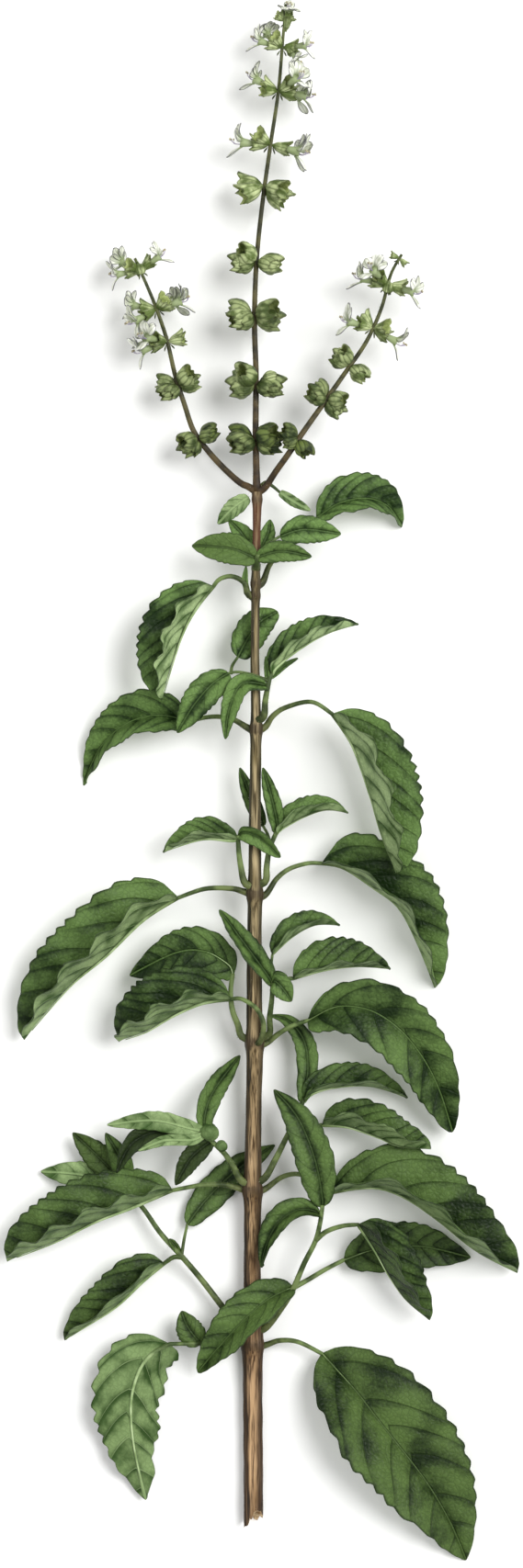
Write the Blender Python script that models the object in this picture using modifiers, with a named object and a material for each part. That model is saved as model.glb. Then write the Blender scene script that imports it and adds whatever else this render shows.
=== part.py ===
"""A cut, branching, flowering stem of basil, lying on a table.

Frame: the origin is on the flat underside of the lowest internode, +Y runs along the stem from its
cut end to the flowers, +X is its right side seen from above, and +Z is up. Routes are in millimetres.
"""

import math
import random
from collections import namedtuple

import bmesh
import bpy
import numpy as np
from mathutils import Matrix, Vector
from mathutils.geometry import interpolate_bezier

MM = 0.001

# Blades
BLADE_THICKNESS = 0.65
BLADE_BASE_HALF_WIDTH = 0.75
BLADE_TIP_HALF_WIDTH = 0.3
MOST_END_SHARE = 0.6
TOOTH_TIP = 0.7
NOTCH_DEPTH = 0.1
CURL = 14.0
LEAST_HALF_GAP = 1.0
# How far a row's direction is drawn towards the chord, so that rows don't cross inside a bend
CHORD_SHARE = 0.55
FEWEST_FULL_TEETH = 8

# Tubes
PETIOLE_RADIUS = 0.75
PETIOLE_INTO_BLADE = 0.07
SMALL_STALK_RADIUS = 0.5
SHOOT_RADII = (1.0, 0.65)
RACHIS_RADII = (1.05, 0.5)
SHOOT_STEP = 8.0
PETIOLE_STEP = 5.0
LARGE_LEAF_HALF_WIDTH = 6.0
CURVE_STEPS = 12

# Calyces and flowers: (distance out along the axis, radius) of each ring, from root to mouth
CALYX_SIDES = 5
CALYX_RINGS = ((0.1, 0.45), (3.4, 1.75), (6.8, 2.8))
CALYX_CAVITY = 5.6
CALYX_TEETH = (1.5, -0.2, 0.9, 0.9, -0.2)
FLOWER_RINGS = ((4.4, 0.45), (7.4, 1.1), (9.7, 2.5))
FLOWER_CAVITY = 8.6
FLOWER_LOBES = (0.9, -0.4, 0.5, 0.5, -0.4)
CUP_ROOT = 0.2
CALYCES_A_WHORL = 5
TURN_WOBBLE = 5.0
TIP_WOBBLE = 7.0
RACHIS_PLACES = 200
SEED = 11

# right and left are the angles at which a blade's halves leave its midrib. The smaller rise is, the
# rounder the blade's base, and the smaller fall, the rounder its tip.
Leaf = namedtuple("Leaf", "petiole midrib half_width right left teeth rise fall", defaults=[0.6, 0.88])
# A shoot's buds are unopened leaves rolled into balls: x, y, z and radius.
Shoot = namedtuple("Shoot", "stalk leaves buds", defaults=[()])
Raceme = namedtuple("Raceme", "rachis whorls")
# y is where the whorl sits on its rachis, size scales its calyces, lean tips them towards the top and
# turn is the first calyx's angle. flowers numbers the calyces in flower, and missing those left out.
Whorl = namedtuple("Whorl", "y size lean turn flowers missing")

# The main stem: x, y, z of its axis and its half-width, from the torn cut end to the topmost node
STEM = (
    (0.2, -23.5, 2.65, 2.65),
    (0.2, -18.0, 2.65, 2.65),
    (0.0, 14.0, 2.65, 2.65),
    (0.0, 20.0, 3.0, 2.8),
    (0.0, 24.0, 3.4, 3.1),
    (0.0, 28.0, 3.6, 2.7),
    (-0.1, 45.0, 4.6, 2.3),
    (0.0, 62.0, 5.9, 2.35),
    (0.0, 66.0, 6.2, 2.75),
    (0.0, 70.0, 6.6, 2.35),
    (0.3, 90.0, 8.2, 2.1),
    (0.6, 103.0, 9.3, 2.3),
    (0.6, 107.0, 9.6, 2.65),
    (0.5, 111.0, 9.9, 2.2),
    (0.4, 130.0, 11.1, 2.0),
    (0.6, 143.0, 11.9, 1.95),
    (0.6, 147.0, 12.1, 2.25),
    (0.6, 151.0, 12.3, 1.8),
    (0.6, 170.0, 13.0, 1.6),
    (0.9, 188.0, 13.5, 1.5),
    (1.0, 192.0, 13.6, 1.75),
    (0.9, 196.0, 13.6, 1.35),
    (0.6, 210.0, 13.7, 1.2),
    (0.8, 228.0, 13.9, 1.15),
    (0.8, 231.0, 14.0, 1.35),
    (0.9, 235.0, 14.0, 1.1),
    (1.1, 245.0, 14.0, 1.05),
    (1.2, 252.0, 14.0, 1.2),
    (1.2, 256.0, 14.0, 1.45),
)
STEM_CORNER = 0.55
SECTION_CORNERS = 8
# How far each corner of the torn end reaches past it, from the right side over the top
TEAR = (-0.4, -2.4, 0.8, 3.3, 2.0, -1.2, 0.8, -0.8)

# The pairs of large leaves and of bracts on the main stem, numbered from the cut end up
STEM_LEAVES = {
    "leaf_1_right": Leaf(
        [(3.9, 23.6, 3.6), (7.5, 24.8, 4.4), (12.5, 24.4, 5.2)],
        [(19, 21.3, 5.8), (28, 11.5, 7), (35, 2.5, 7.4), (47, -13, 6), (54, -25, 3.4), (58.3, -35.5, 0.6)],
        16.5, 34, 172, 9,
    ),
    "leaf_1_left": Leaf(
        [(-3.9, 24, 3.6), (-8, 24, 4.8), (-13, 24.1, 6.4)],
        [(-22.8, 24.2, 8.4), (-27.5, 21.6, 9.4), (-31.2, 16.5, 10), (-33.2, 8, 9.8), (-32.4, -4, 7.8),
         (-29.3, -18.7, 2.6)],
        11.6, 222, 350, 8, 0.42, 0.85,
    ),
    "leaf_2_right": Leaf(
        [(3.5, 66.2, 4.8), (8, 69.4, 5.0), (12.5, 70.2, 5.3), (17, 68.2, 6)],
        [(21.5, 65.6, 7), (28, 66.8, 8.4), (35, 66.8, 9.4), (42, 64, 10), (50, 58.5, 10), (61, 49.6, 8.6),
         (72.3, 43.5, 5)],
        14.4, 101, 175, 9, 0.5, 0.6,
    ),
    "leaf_2_left": Leaf(
        [(-3.5, 66.3, 6.2), (-8, 67.4, 6.8), (-14, 67.3, 7.4)],
        [(-22, 66.3, 8), (-33, 61.5, 10), (-43, 57.6, 11), (-54, 52, 10.4), (-67, 46.8, 7.5)],
        13.4, 6, 73, 9, 0.5, 0.48,
    ),
    "leaf_3_right": Leaf(
        [(3.9, 106.2, 9.5), (7, 108.6, 10.3), (10.5, 110.7, 11.2)],
        [(15, 112.3, 12), (23, 116.2, 14), (32, 115.2, 15), (40, 110, 14.6), (46.5, 102, 12.6), (51, 93, 9.6),
         (54.5, 81.7, 6)],
        9.8, 22, 160, 9, 0.5, 0.7,
    ),
    "leaf_3_left": Leaf(
        [(2.2, 107.0, 13.4), (3.0, 111.3, 14.4), (1, 115.6, 14.8), (-3, 118.2, 14.6)],
        [(-6, 118.5, 14.6), (-14, 117.2, 15), (-22, 113.6, 14.6), (-29, 109.4, 12.6), (-36.5, 106.7, 9.4)],
        13.5, 8, 71, 8, 0.5, 0.42,
    ),
    "leaf_4_right": Leaf(
        [(3.6, 146.6, 11.2), (6.5, 150.8, 10.2), (10, 153.5, 9.2), (15, 155, 8.6)],
        [(19, 155.3, 8.4), (25, 154, 8.2), (33, 148.6, 8), (40, 143, 7), (45, 133.5, 5), (50, 121, 0.8)],
        13.4, 97, 172, 9, 0.3, 0.62,
    ),
    "leaf_4_left": Leaf(
        [(-2.6, 147.4, 12.2), (-6, 148.2, 12.6), (-13, 148.1, 13)],
        [(-20.5, 146, 13), (-30, 139.8, 13.5), (-40, 130, 13), (-50, 121.5, 11), (-62.5, 107, 5)],
        14.8, 6, 72, 9, 0.42, 0.6,
    ),
    "leaf_5_right": Leaf(
        [(3.5, 192.2, 13.0), (5.4, 195, 13.6), (9, 197.4, 14.4), (16, 198.9, 15)],
        [(22, 195.8, 15), (27.5, 187, 15), (32, 174, 15), (35, 163.5, 14.4), (39.3, 152.3, 13)],
        14.4, 112, 174, 9, 0.5, 0.55,
    ),
    "leaf_5_left": Leaf(
        [(-1.6, 192, 13.4), (-5, 194, 13.2), (-9, 194.9, 12.8), (-13.5, 194.6, 12)],
        [(-17.5, 193.6, 11.4), (-26, 195.2, 9.4), (-34.5, 192.8, 7), (-41.5, 186.4, 3.8), (-46.3, 176.3, 0.6)],
        8.4, 14, 118, 8, 0.32, 0.95,
    ),
    "leaf_6_right": Leaf(
        [(2.8, 231.6, 13.2), (4.8, 236.5, 11.6), (10, 243, 9.8)],
        [(17.5, 249.2, 8), (23.5, 253.2, 7), (31, 254.6, 5.4), (37, 252.4, 3.2), (40.9, 247, 0.6)],
        7.4, 63, 172, 7, 0.45, 0.7,
    ),
    "leaf_6_left": Leaf(
        [(-1.4, 228.4, 14.2), (-2.2, 231.2, 14.8), (-5.6, 233, 15.4), (-9, 232.2, 15.6)],
        [(-11, 230.5, 15.6), (-16, 223.8, 16), (-20, 215.5, 16), (-24.8, 199.5, 14.6)],
        11.8, 6, 68, 8, 0.5, 0.55,
    ),
    "bract_left": Leaf(
        [(-1.0, 254.4, 13.4)],
        [(-2, 254, 13.4), (-5.5, 251.4, 13.2), (-9.5, 247.3, 12.4)],
        2.6, 10, 168, 4,
    ),
    "bract_right": Leaf(
        [(3.4, 258.6, 12.0), (5.4, 257.6, 12.0)],
        [(7.4, 255.9, 12.0), (11.5, 253.2, 12.2), (15.7, 251, 11.8)],
        1.5, 10, 170, 3,
    ),
}

# Leaves of the shoots in the axils: the first petiole point lies in the shoot's own stalk
SHOOTS = {
    "shoot_1_right": Shoot(
        [(3.6, 28.4, 5.2), (8, 34, 6.4), (11, 39, 7.4), (14, 46, 8.4), (17, 52, 9.2), (18.3, 57, 10),
         (19, 62, 10.6)],
        [
            Leaf([(11.2, 39.4, 7.5)],
                 [(9, 38.6, 8), (4, 36, 10.2), (-2, 31, 11), (-8, 24.5, 10.4), (-15, 16.3, 8)],
                 7.4, 8, 126, 6, 0.55, 0.75),
            Leaf([(11.2, 39.4, 7.4), (15, 41.4, 5.8), (20, 44.3, 4.8)],
                 [(25, 46.8, 4.4), (34, 49.8, 4.2), (46, 50.5, 3.6), (59.5, 47.3, 1.6)],
                 7.2, 14, 168, 6),
            Leaf([(17.2, 52.4, 9.3), (20, 54.8, 10.4), (24.5, 56.4, 11.4)],
                 [(29, 57, 12), (33.4, 50.2, 13), (37.4, 43, 12.8), (42, 36.4, 11.4), (48.4, 30.8, 9)],
                 9.8, 114, 172, 6, 0.5, 0.75),
            Leaf([(18.7, 59, 10.2)],
                 [(16.5, 60.4, 10.8), (12, 60.5, 11.4), (7, 57, 11.4), (4, 51.5, 10.8), (2.2, 45, 9.6)],
                 4.5, 12, 116, 5),
            Leaf([(19, 61.6, 10.6)],
                 [(18.9, 64, 11.4), (17.5, 72, 13.4), (15, 80, 14.2), (11.5, 87, 14), (5.8, 93.5, 12.4)],
                 5.6, 12, 168, 6),
        ],
    ),
    "shoot_1_left": Shoot(
        [(-3.8, 28.2, 3.9), (-9, 35, 5), (-14, 41.5, 5), (-19.5, 48, 6.4), (-25, 54, 5.8), (-30, 61, 4.8),
         (-35.5, 67, 4)],
        [
            Leaf([(-19.2, 47.6, 6.4), (-21.6, 47.6, 6.6)],
                 [(-24.4, 46.2, 6.8), (-30, 41.4, 7.6), (-37, 34.6, 7.4), (-44, 29.8, 5.8), (-51.5, 25, 3)],
                 9.0, 8, 78, 6, 0.5, 0.75),
            Leaf([(-19.4, 47.8, 6.4), (-18.7, 52.4, 5.2)],
                 [(-17.8, 56.5, 3.6), (-12.5, 63.4, 2.2), (-4, 71.5, 1.5), (6, 78, 1.4)],
                 4.6, 2, 178, 5),
            Leaf([(-34.6, 65.8, 4.2)],
                 [(-38, 67.6, 3.8), (-47.5, 70, 3.6), (-57.8, 70.8, 2.6)], 4.2, 8, 172, 5),
            Leaf([(-35.2, 66.8, 4)],
                 [(-37, 69.6, 4.4), (-43, 75.8, 5), (-49, 81.5, 6.6)], 4.2, 8, 172, 5),
            Leaf([(-35, 66.4, 4.2)],
                 [(-35, 70, 5.4), (-36.6, 75.6, 7.4), (-40, 81.5, 8.2)], 3.2, 8, 172, 3),
            Leaf([(-20.2, 49, 6.4)], [(-21, 50.4, 6.9), (-22.6, 52.6, 7.8)], 1.3, 30, 150, 2),
        ],
    ),
    "shoot_2_right": Shoot(
        [(3.2, 69.2, 8.2), (6, 74, 8.8), (9, 80, 9.2), (12, 86, 9.7), (14, 91, 10)],
        [
            Leaf([(9.2, 80.4, 9.2), (13.5, 83, 9)],
                 [(19, 84.2, 9.4), (26, 83.6, 11), (34, 80.9, 13.6), (40, 78.4, 14.4), (48.5, 77.7, 13)],
                 9.0, 116, 174, 6, 0.5, 0.65),
            Leaf([(13.6, 90, 9.9)],
                 [(14.2, 93, 9.8), (15, 100, 8.8), (13.8, 107, 7.6), (9.5, 112.2, 6.6), (4.6, 113.6, 6)],
                 3.2, 10, 170, 5),
            Leaf([(13.8, 90.4, 9.9)],
                 [(16, 92.6, 9.8), (22, 94.3, 9.4), (32, 94.6, 8), (42.3, 91.3, 5.6)], 6.5, 99, 174, 6),
        ],
    ),
    "shoot_2_left": Shoot(
        [(-3.1, 68.6, 8.4), (-5.4, 72.6, 9.6), (-7.6, 76, 10.8), (-10.6, 79, 12), (-13.2, 82, 13.2)],
        [
            Leaf([(-13, 82, 13.2)],
                 [(-13.2, 85.5, 13.6), (-11.8, 91, 12.6), (-8.5, 96.4, 9.6), (-3.4, 102.6, 5)],
                 3.4, 10, 150, 5),
            Leaf([(-13, 82, 13.4)],
                 [(-17, 83, 14.6), (-27, 85.2, 15.6), (-39.5, 84, 14)], 2.9, 10, 170, 5),
            Leaf([(-13, 81.4, 13.2)],
                 [(-17, 81, 13.2), (-26, 82, 13.8), (-33, 78.6, 14.4), (-37, 71, 14.6)],
                 3.6, 20, 160, 5),
            Leaf([(-13, 81.4, 13)],
                 [(-16.6, 79.7, 12), (-24, 79.6, 11.4), (-31, 77, 11.4)], 1.7, 10, 170, 3),
            Leaf([(-11, 79.4, 12.2)],
                 [(-12.5, 78.6, 12), (-17, 74.5, 11.8), (-21, 67.5, 11.4)], 3.1, 10, 170, 5),
        ],
        [(-11.7, 82, 13.6, 2.4)],
    ),
    "shoot_3_right": Shoot(
        [(4.4, 108.4, 10.8), (4.6, 113, 12.6), (5.2, 118, 14.6), (5.4, 122.6, 15.8)],
        [
            Leaf([(5.4, 122, 15.7)],
                 [(4.4, 124, 16.4), (0.3, 129.7, 17.2), (-4.2, 135.8, 17.2), (-9, 142.5, 16)],
                 3.7, 10, 130, 5),
            Leaf([(5.4, 121.6, 15.6), (8, 123.4, 15.6)],
                 [(11, 124.2, 15.4), (19, 126.3, 15), (28, 127.3, 13.6), (37.5, 126.6, 11)],
                 8.6, 99, 174, 6),
            Leaf([(5.4, 122.2, 15.8), (5, 126.6, 15.2)],
                 [(5.2, 130.6, 14.8), (11, 135.6, 14.6), (17, 138.5, 14), (23.7, 138.5, 12.6)],
                 5.2, 107, 172, 5),
            Leaf([(5.4, 121.8, 15.8)],
                 [(6, 123.2, 16.8), (8.4, 121, 17.6), (10.6, 117.6, 16.8)], 3.4, 15, 165, 3),
        ],
    ),
    "shoot_3_left": Shoot(
        [(-3.0, 107.9, 9.3), (-4.0, 111, 9.9), (-5.5, 115, 10.5), (-6, 120, 11), (-5.4, 125, 11.4)],
        [
            Leaf([(-5.4, 124.4, 11.4)],
                 [(-6.6, 127.4, 11.5), (-13, 131, 11.9), (-21, 130.6, 11.4), (-33.5, 124.5, 9)],
                 6.8, 6, 174, 6),
        ],
    ),
    "shoot_4_left": Shoot(
        [(-2.1, 149.7, 13.8), (-3.2, 154, 14.2), (-3.8, 158.6, 14.7), (-4, 162.6, 15.2)],
        [
            Leaf([(-4, 162, 15.2)],
                 [(-6, 161.6, 15.2), (-14, 161.8, 14.8), (-24.5, 158.3, 13)], 6.2, 8, 71, 5),
            Leaf([(-4, 162.4, 15.3)],
                 [(-2.2, 163.6, 16.2), (2.5, 161.8, 16.8), (7.5, 156.6, 16)], 3.2, 15, 125, 3),
        ],
    ),
    "shoot_4_right": Shoot(
        [(3.5, 150.2, 13.4), (3.8, 154, 13.6), (4.6, 159, 13.8), (6.6, 163.8, 14)],
        [
            Leaf([(6.3, 163.2, 14)],
                 [(8, 164.8, 14), (14, 168, 14.2), (20, 169.8, 13.8), (26, 169, 12.6)],
                 5.2, 118, 172, 5),
            Leaf([(6.4, 163.4, 14)],
                 [(6.6, 166, 14.6), (5.2, 172.6, 16), (2.8, 181, 16.8)], 2.5, 15, 160, 3),
            Leaf([(4.8, 159.4, 13.7), (4.2, 162.6, 11.6)],
                 [(2.8, 165.2, 10), (-0.4, 172.6, 9.2), (-3.5, 181, 9.8)], 2.3, 5, 175, 3),
        ],
    ),
    "shoot_5": Shoot(
        [(3.0, 195, 15.2), (3.4, 199, 15.9), (4.1, 203, 16.4), (5, 207.2, 16)],
        [
            Leaf([(4, 202.6, 16.3)],
                 [(2.8, 203.6, 17), (-3, 203.6, 18.2), (-6.2, 197, 18.4), (-7.5, 188.8, 17.4)],
                 3.3, 14, 150, 5),
            Leaf([(4.4, 204.6, 16.4), (0, 206.2, 17), (-4, 207, 17)],
                 [(-6.5, 206.7, 16.8), (-11, 203.6, 17), (-16, 197.8, 17), (-20.5, 190.5, 15.8)],
                 4.6, 12, 165, 6),
            Leaf([(-5.8, 206.6, 16.6), (-5.6, 208.6, 14.8)],
                 [(-4, 211.2, 12.6), (-1.6, 215.8, 10.4), (1.8, 220.6, 9.6), (6.8, 223.6, 9.8)],
                 4.7, 0, 184, 5, 0.5, 0.6),
            Leaf([(4.9, 206.6, 16)],
                 [(6.4, 208.8, 15.8), (12, 213.2, 15.6), (20, 217.7, 15.2), (28.7, 220.3, 14)],
                 6.6, 112, 170, 6),
            Leaf([(4.6, 205.4, 16.2)],
                 [(6, 206.4, 15.6), (9, 209, 15), (12.3, 210.8, 14.6)], 0.9, 10, 170, 2),
            Leaf([(4.2, 204, 16.4)], [(3.9, 206, 16.8), (3.6, 211.2, 17.4)], 0.8, 10, 170, 2),
        ],
    ),
    "shoot_6_front": Shoot(
        [(1, 236.4, 15.9), (1.1, 237.6, 16.6), (1.4, 239, 17)],
        [
            Leaf([(1.1, 237.8, 16.7)],
                 [(0, 238.2, 17), (-5, 240.2, 17.6), (-11, 241, 17.2), (-16.5, 241.3, 15.8)],
                 4.6, 12, 160, 5),
            Leaf([(1.2, 238, 16.8)],
                 [(2.5, 238.6, 17.2), (8, 239.8, 18), (16, 238.3, 17)], 3.2, 12, 160, 5),
            Leaf([(1.3, 238.6, 16.9), (4, 241.6, 16)],
                 [(7.5, 243.9, 15), (14, 245.8, 14.6), (24, 244.6, 13.2)], 4.1, 10, 168, 5),
        ],
    ),
    "shoot_6_back": Shoot(
        [(1, 236.6, 12.2), (1.2, 238.4, 11), (1.4, 240, 10.4)],
        [
            Leaf([(1.2, 238.6, 10.9)],
                 [(0, 240.4, 10.6), (-3, 244.8, 10.4), (-6.5, 248.5, 10)], 3.0, 8, 172, 3),
            Leaf([(1.3, 239.2, 10.7)],
                 [(2.4, 241.2, 10.2), (4.2, 245, 9.6), (4.8, 248.6, 9.4)], 2.5, 8, 172, 3),
        ],
    ),
}
# A small young leaf beside the petiole that it shares an axil with, fused to it
SIDE_LEAVES = {
    "leaf_1_left": [
        Leaf([(-13.8, 24.1, 6.5)],
             [(-15.4, 25.4, 6.8), (-18, 29.2, 7.4), (-19.4, 33, 7.2)], 3.9, 10, 170, 4),
    ],
    "leaf_6_left": [Leaf([(-1.5, 228.8, 14.3)], [(-2.1, 232, 15.4), (-1.8, 235.6, 15.9)], 0.9, 10, 170, 2)],
}
# Leaves whose lowest point bears on the table
RESTING = ("leaf_1_right", "leaf_4_right", "leaf_5_left", "leaf_6_right")

RACEMES = {
    "raceme_centre": Raceme(
        [(1.1, 257.2, 14), (1, 262, 14.2), (0.8, 272, 14.4), (0.9, 288, 14.4), (0.5, 302, 14.2), (1, 318, 14),
         (2.6, 334, 13.8), (4.8, 350, 13.8), (7, 365, 13.8), (8.2, 379, 13.8), (9.1, 388.5, 13.6)],
        [
            Whorl(270.5, 1.08, -4, 0, (), ()),
            Whorl(285.5, 1.08, 4, 20, (), ()),
            Whorl(304.0, 1.08, 0, 0, (), ()),
            Whorl(319.0, 1.02, 4, 25, (), ()),
            Whorl(339.0, 1.0, -16, 5, (), ()),
            Whorl(350.5, 0.92, 10, 30, (0, 2, 4), ()),
            Whorl(364.5, 0.85, 14, 0, (0, 1, 3, 4), ()),
            Whorl(376.5, 0.75, 22, 30, (0, 2, 3), ()),
            Whorl(384.0, 0.5, 40, 0, (), ()),
        ],
    ),
    "raceme_left": Raceme(
        [(-1.2, 257.4, 13.8), (-3.6, 258.6, 13.4), (-8, 262.6, 12.6), (-12, 267, 12), (-16, 272.5, 11.8),
         (-18.6, 280, 12), (-21, 287.5, 12.2), (-23.5, 298, 12.4), (-27, 308, 12.6), (-32, 319.5, 12.8)],
        [
            Whorl(270.5, 0.86, 0, 30, (), ()),
            Whorl(285.0, 0.86, 6, 0, (), ()),
            Whorl(296.8, 0.84, 12, 30, (1, 2, 3), ()),
            Whorl(305.5, 0.8, 8, 0, (0, 2, 3, 4), ()),
            Whorl(316.2, 0.74, 28, 30, (0, 2, 3), ()),
        ],
    ),
    "raceme_right": Raceme(
        [(3.4, 257.2, 14.6), (6.4, 261.6, 16.2), (9.6, 266, 17.4), (14, 272.5, 17.2), (20, 281, 15.4),
         (26, 289.6, 14.4), (31, 297, 14), (35, 306, 13.8), (37.5, 315, 13.8), (40.5, 320.5, 13.8)],
        [
            Whorl(270.5, 0.8, -20, 60, (), (2, 3)),
            Whorl(281.0, 0.84, 4, 0, (), ()),
            Whorl(290.5, 0.84, 6, 30, (), ()),
            Whorl(300.5, 0.84, 6, 0, (), ()),
            Whorl(312.0, 0.84, 16, 30, (0,), ()),
            Whorl(319.5, 0.45, 0, 0, (), (1, 3, 4)),
        ],
    ),
}

# Base colour, roughness
MATERIALS = {
    "stem_bark": ((0.16, 0.085, 0.03), 0.7),
    "leaf_green": ((0.07, 0.17, 0.05), 0.5),
    "calyx_green": ((0.14, 0.2, 0.05), 0.6),
}


def clear_scene():
    for obj in list(bpy.data.objects):
        bpy.data.objects.remove(obj)


def material(name):
    colour, roughness = MATERIALS[name]
    made = bpy.data.materials.new(name)
    made.use_nodes = True
    shader = made.node_tree.nodes["Principled BSDF"]
    shader.inputs["Base Color"].default_value = (*colour, 1)
    shader.inputs["Roughness"].default_value = roughness
    made.diffuse_color = (*colour, 1)
    return made


def smooth_route(points, count):
    """Evenly spaced points, in metres, along the smooth curve through points in millimetres."""
    given = [Vector(point) * MM for point in points]
    dense = []
    for index in range(len(given) - 1):
        start, end = given[index], given[index + 1]
        before = given[max(index - 1, 0)]
        after = given[min(index + 2, len(given) - 1)]
        leave, arrive = start + (end - before) / 6, end - (after - start) / 6
        dense += interpolate_bezier(start, leave, arrive, end, CURVE_STEPS)[:-1]
    dense = np.array([*dense, given[-1]])
    travelled = np.concatenate([[0], np.cumsum(np.linalg.norm(np.diff(dense, axis=0), axis=1))])
    places = np.asarray(count) * travelled[-1] if np.ndim(count) else np.linspace(0, travelled[-1], count)
    return [Vector(place) for place in np.array([np.interp(places, travelled, axis) for axis in dense.T]).T]


def route_length(points):
    return sum((Vector(b) - Vector(a)).length for a, b in zip(points, points[1:]))


def new_object(name, bm, collection):
    mesh = bpy.data.meshes.new(name)
    bm.to_mesh(mesh)
    bm.free()
    obj = bpy.data.objects.new(name, mesh)
    collection.objects.link(obj)
    return obj


def as_mesh(name, source, collection):
    """A mesh object of what source evaluates to, with its caps welded; source is removed."""
    graph = bpy.context.evaluated_depsgraph_get()
    mesh = bpy.data.meshes.new_from_object(source.evaluated_get(graph))
    bm = bmesh.new()
    bm.from_mesh(mesh)
    bmesh.ops.remove_doubles(bm, verts=bm.verts, dist=0.00001)
    bmesh.ops.recalc_face_normals(bm, faces=bm.faces)
    bpy.data.meshes.remove(mesh)
    bpy.data.objects.remove(source)
    return new_object(name, bm, collection)


def tube(name, points, radii, step, collection):
    """A four-sided tube through points in millimetres, tapering from the first radius to the second."""
    count = max(3, round(route_length(points) / step) + 1)
    curve = bpy.data.curves.new(name, "CURVE")
    curve.dimensions = "3D"
    curve.bevel_depth = MM
    curve.bevel_resolution = 0
    curve.use_fill_caps = True
    spline = curve.splines.new("POLY")
    spline.points.add(count - 1)
    for index, place in enumerate(smooth_route(points, count)):
        spline.points[index].co = (*place, 1)
        spline.points[index].radius = radii[0] + (radii[1] - radii[0]) * index / (count - 1)
    source = bpy.data.objects.new(name, curve)
    collection.objects.link(source)
    bpy.context.view_layer.update()
    return as_mesh(name, source, collection)


def tooth_rows(teeth):
    """(place along the midrib, 1 at a tooth's tip and 0 at a notch) for each row of a blade."""
    rows = []
    for tooth in range(teeth):
        rows.append((tooth / teeth, 0))
        rows.append(((tooth + TOOTH_TIP) / teeth, 1))
    return [*rows, (1.0, 1)]


def width_share(place, rise, fall):
    """An ovate blade's half-width along it, as a share of the greatest."""
    widest = rise / (rise + fall)
    return (place / widest) ** rise * ((1 - place) / (1 - widest)) ** fall


def turned(across, up, degrees):
    angle = math.radians(degrees)
    return across * math.cos(angle) + up * math.sin(angle)


def blade(name, leaf, collection):
    """A toothed blade whose halves leave the midrib at the leaf's right and left angles, seen from
    its base, counted from its right-hand side over the top. They open flat where it is narrow."""
    rows = tooth_rows(leaf.teeth)
    columns = (-1, -0.5, 0, 0.5, 1) if leaf.teeth >= FEWEST_FULL_TEETH else (-1, 0, 1)
    spine = smooth_route(leaf.midrib, [place for place, _ in rows])
    bm = bmesh.new()
    bmesh.ops.create_grid(bm, x_segments=len(columns) - 1, y_segments=len(rows) - 1, size=1)
    bm.verts.ensure_lookup_table()
    middle, half_gap = (leaf.right + leaf.left) / 2, (leaf.left - leaf.right) / 2
    chord = (spine[-1] - spine[0]).normalized()
    for row, (place, at_tip) in enumerate(rows):
        along = (spine[min(row + 1, len(spine) - 1)] - spine[max(row - 1, 0)]).normalized()
        along = along.lerp(chord, CHORD_SHARE).normalized()
        across = along.cross(Vector((0, 0, 1))).normalized()
        up = across.cross(along)
        ends = BLADE_BASE_HALF_WIDTH + (BLADE_TIP_HALF_WIDTH - BLADE_BASE_HALF_WIDTH) * place
        ends = min(ends, leaf.half_width * MOST_END_SHARE)
        smooth = ends + (leaf.half_width - ends) * width_share(place, leaf.rise, leaf.fall)
        margin = smooth * (1 - NOTCH_DEPTH * (1 - at_tip))
        opening = max(half_gap, math.degrees(math.asin(min(1, LEAST_HALF_GAP / smooth))))
        for column, share in enumerate(columns):
            side = -1 if share > 0 else 1
            leaving = middle + side * opening
            inner = min(abs(share), 0.5) * smooth
            outer = max(abs(share) - 0.5, 0) * 2 * (margin - smooth / 2)
            inner_way = turned(across, up, leaving - side * CURL / 2)
            outer_way = turned(across, up, leaving + side * CURL / 2)
            offset = inner_way * inner + outer_way * outer
            bm.verts[row * len(columns) + column].co = spine[row] + offset * MM
    bmesh.ops.triangulate(bm, faces=bm.faces)
    obj = new_object(name, bm, collection)
    thick = obj.modifiers.new("thickness", "SOLIDIFY")
    thick.thickness = BLADE_THICKNESS * MM
    thick.offset = 0
    return obj


def leaf_pieces(name, leaf, collection):
    """A blade and its stalk, sunk a little way into it; one petiole point is a leaf with no stalk."""
    if len(leaf.petiole) == 1:
        return [blade(name + "_blade", leaf._replace(midrib=leaf.petiole + leaf.midrib), collection)]
    near_base = smooth_route(leaf.midrib, [PETIOLE_INTO_BLADE])[0] / MM
    radius = PETIOLE_RADIUS if leaf.half_width > LARGE_LEAF_HALF_WIDTH else SMALL_STALK_RADIUS
    stalk = [*leaf.petiole, leaf.midrib[0], tuple(near_base)]
    return [
        blade(name + "_blade", leaf, collection),
        tube(name + "_stalk", stalk, (radius, BLADE_THICKNESS / 2), PETIOLE_STEP, collection),
    ]


def bud(name, centre, radius, collection):
    bm = bmesh.new()
    place = Matrix.Translation(Vector(centre) * MM)
    bmesh.ops.create_icosphere(bm, subdivisions=2, radius=radius * MM, matrix=place)
    return new_object(name, bm, collection)


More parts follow.
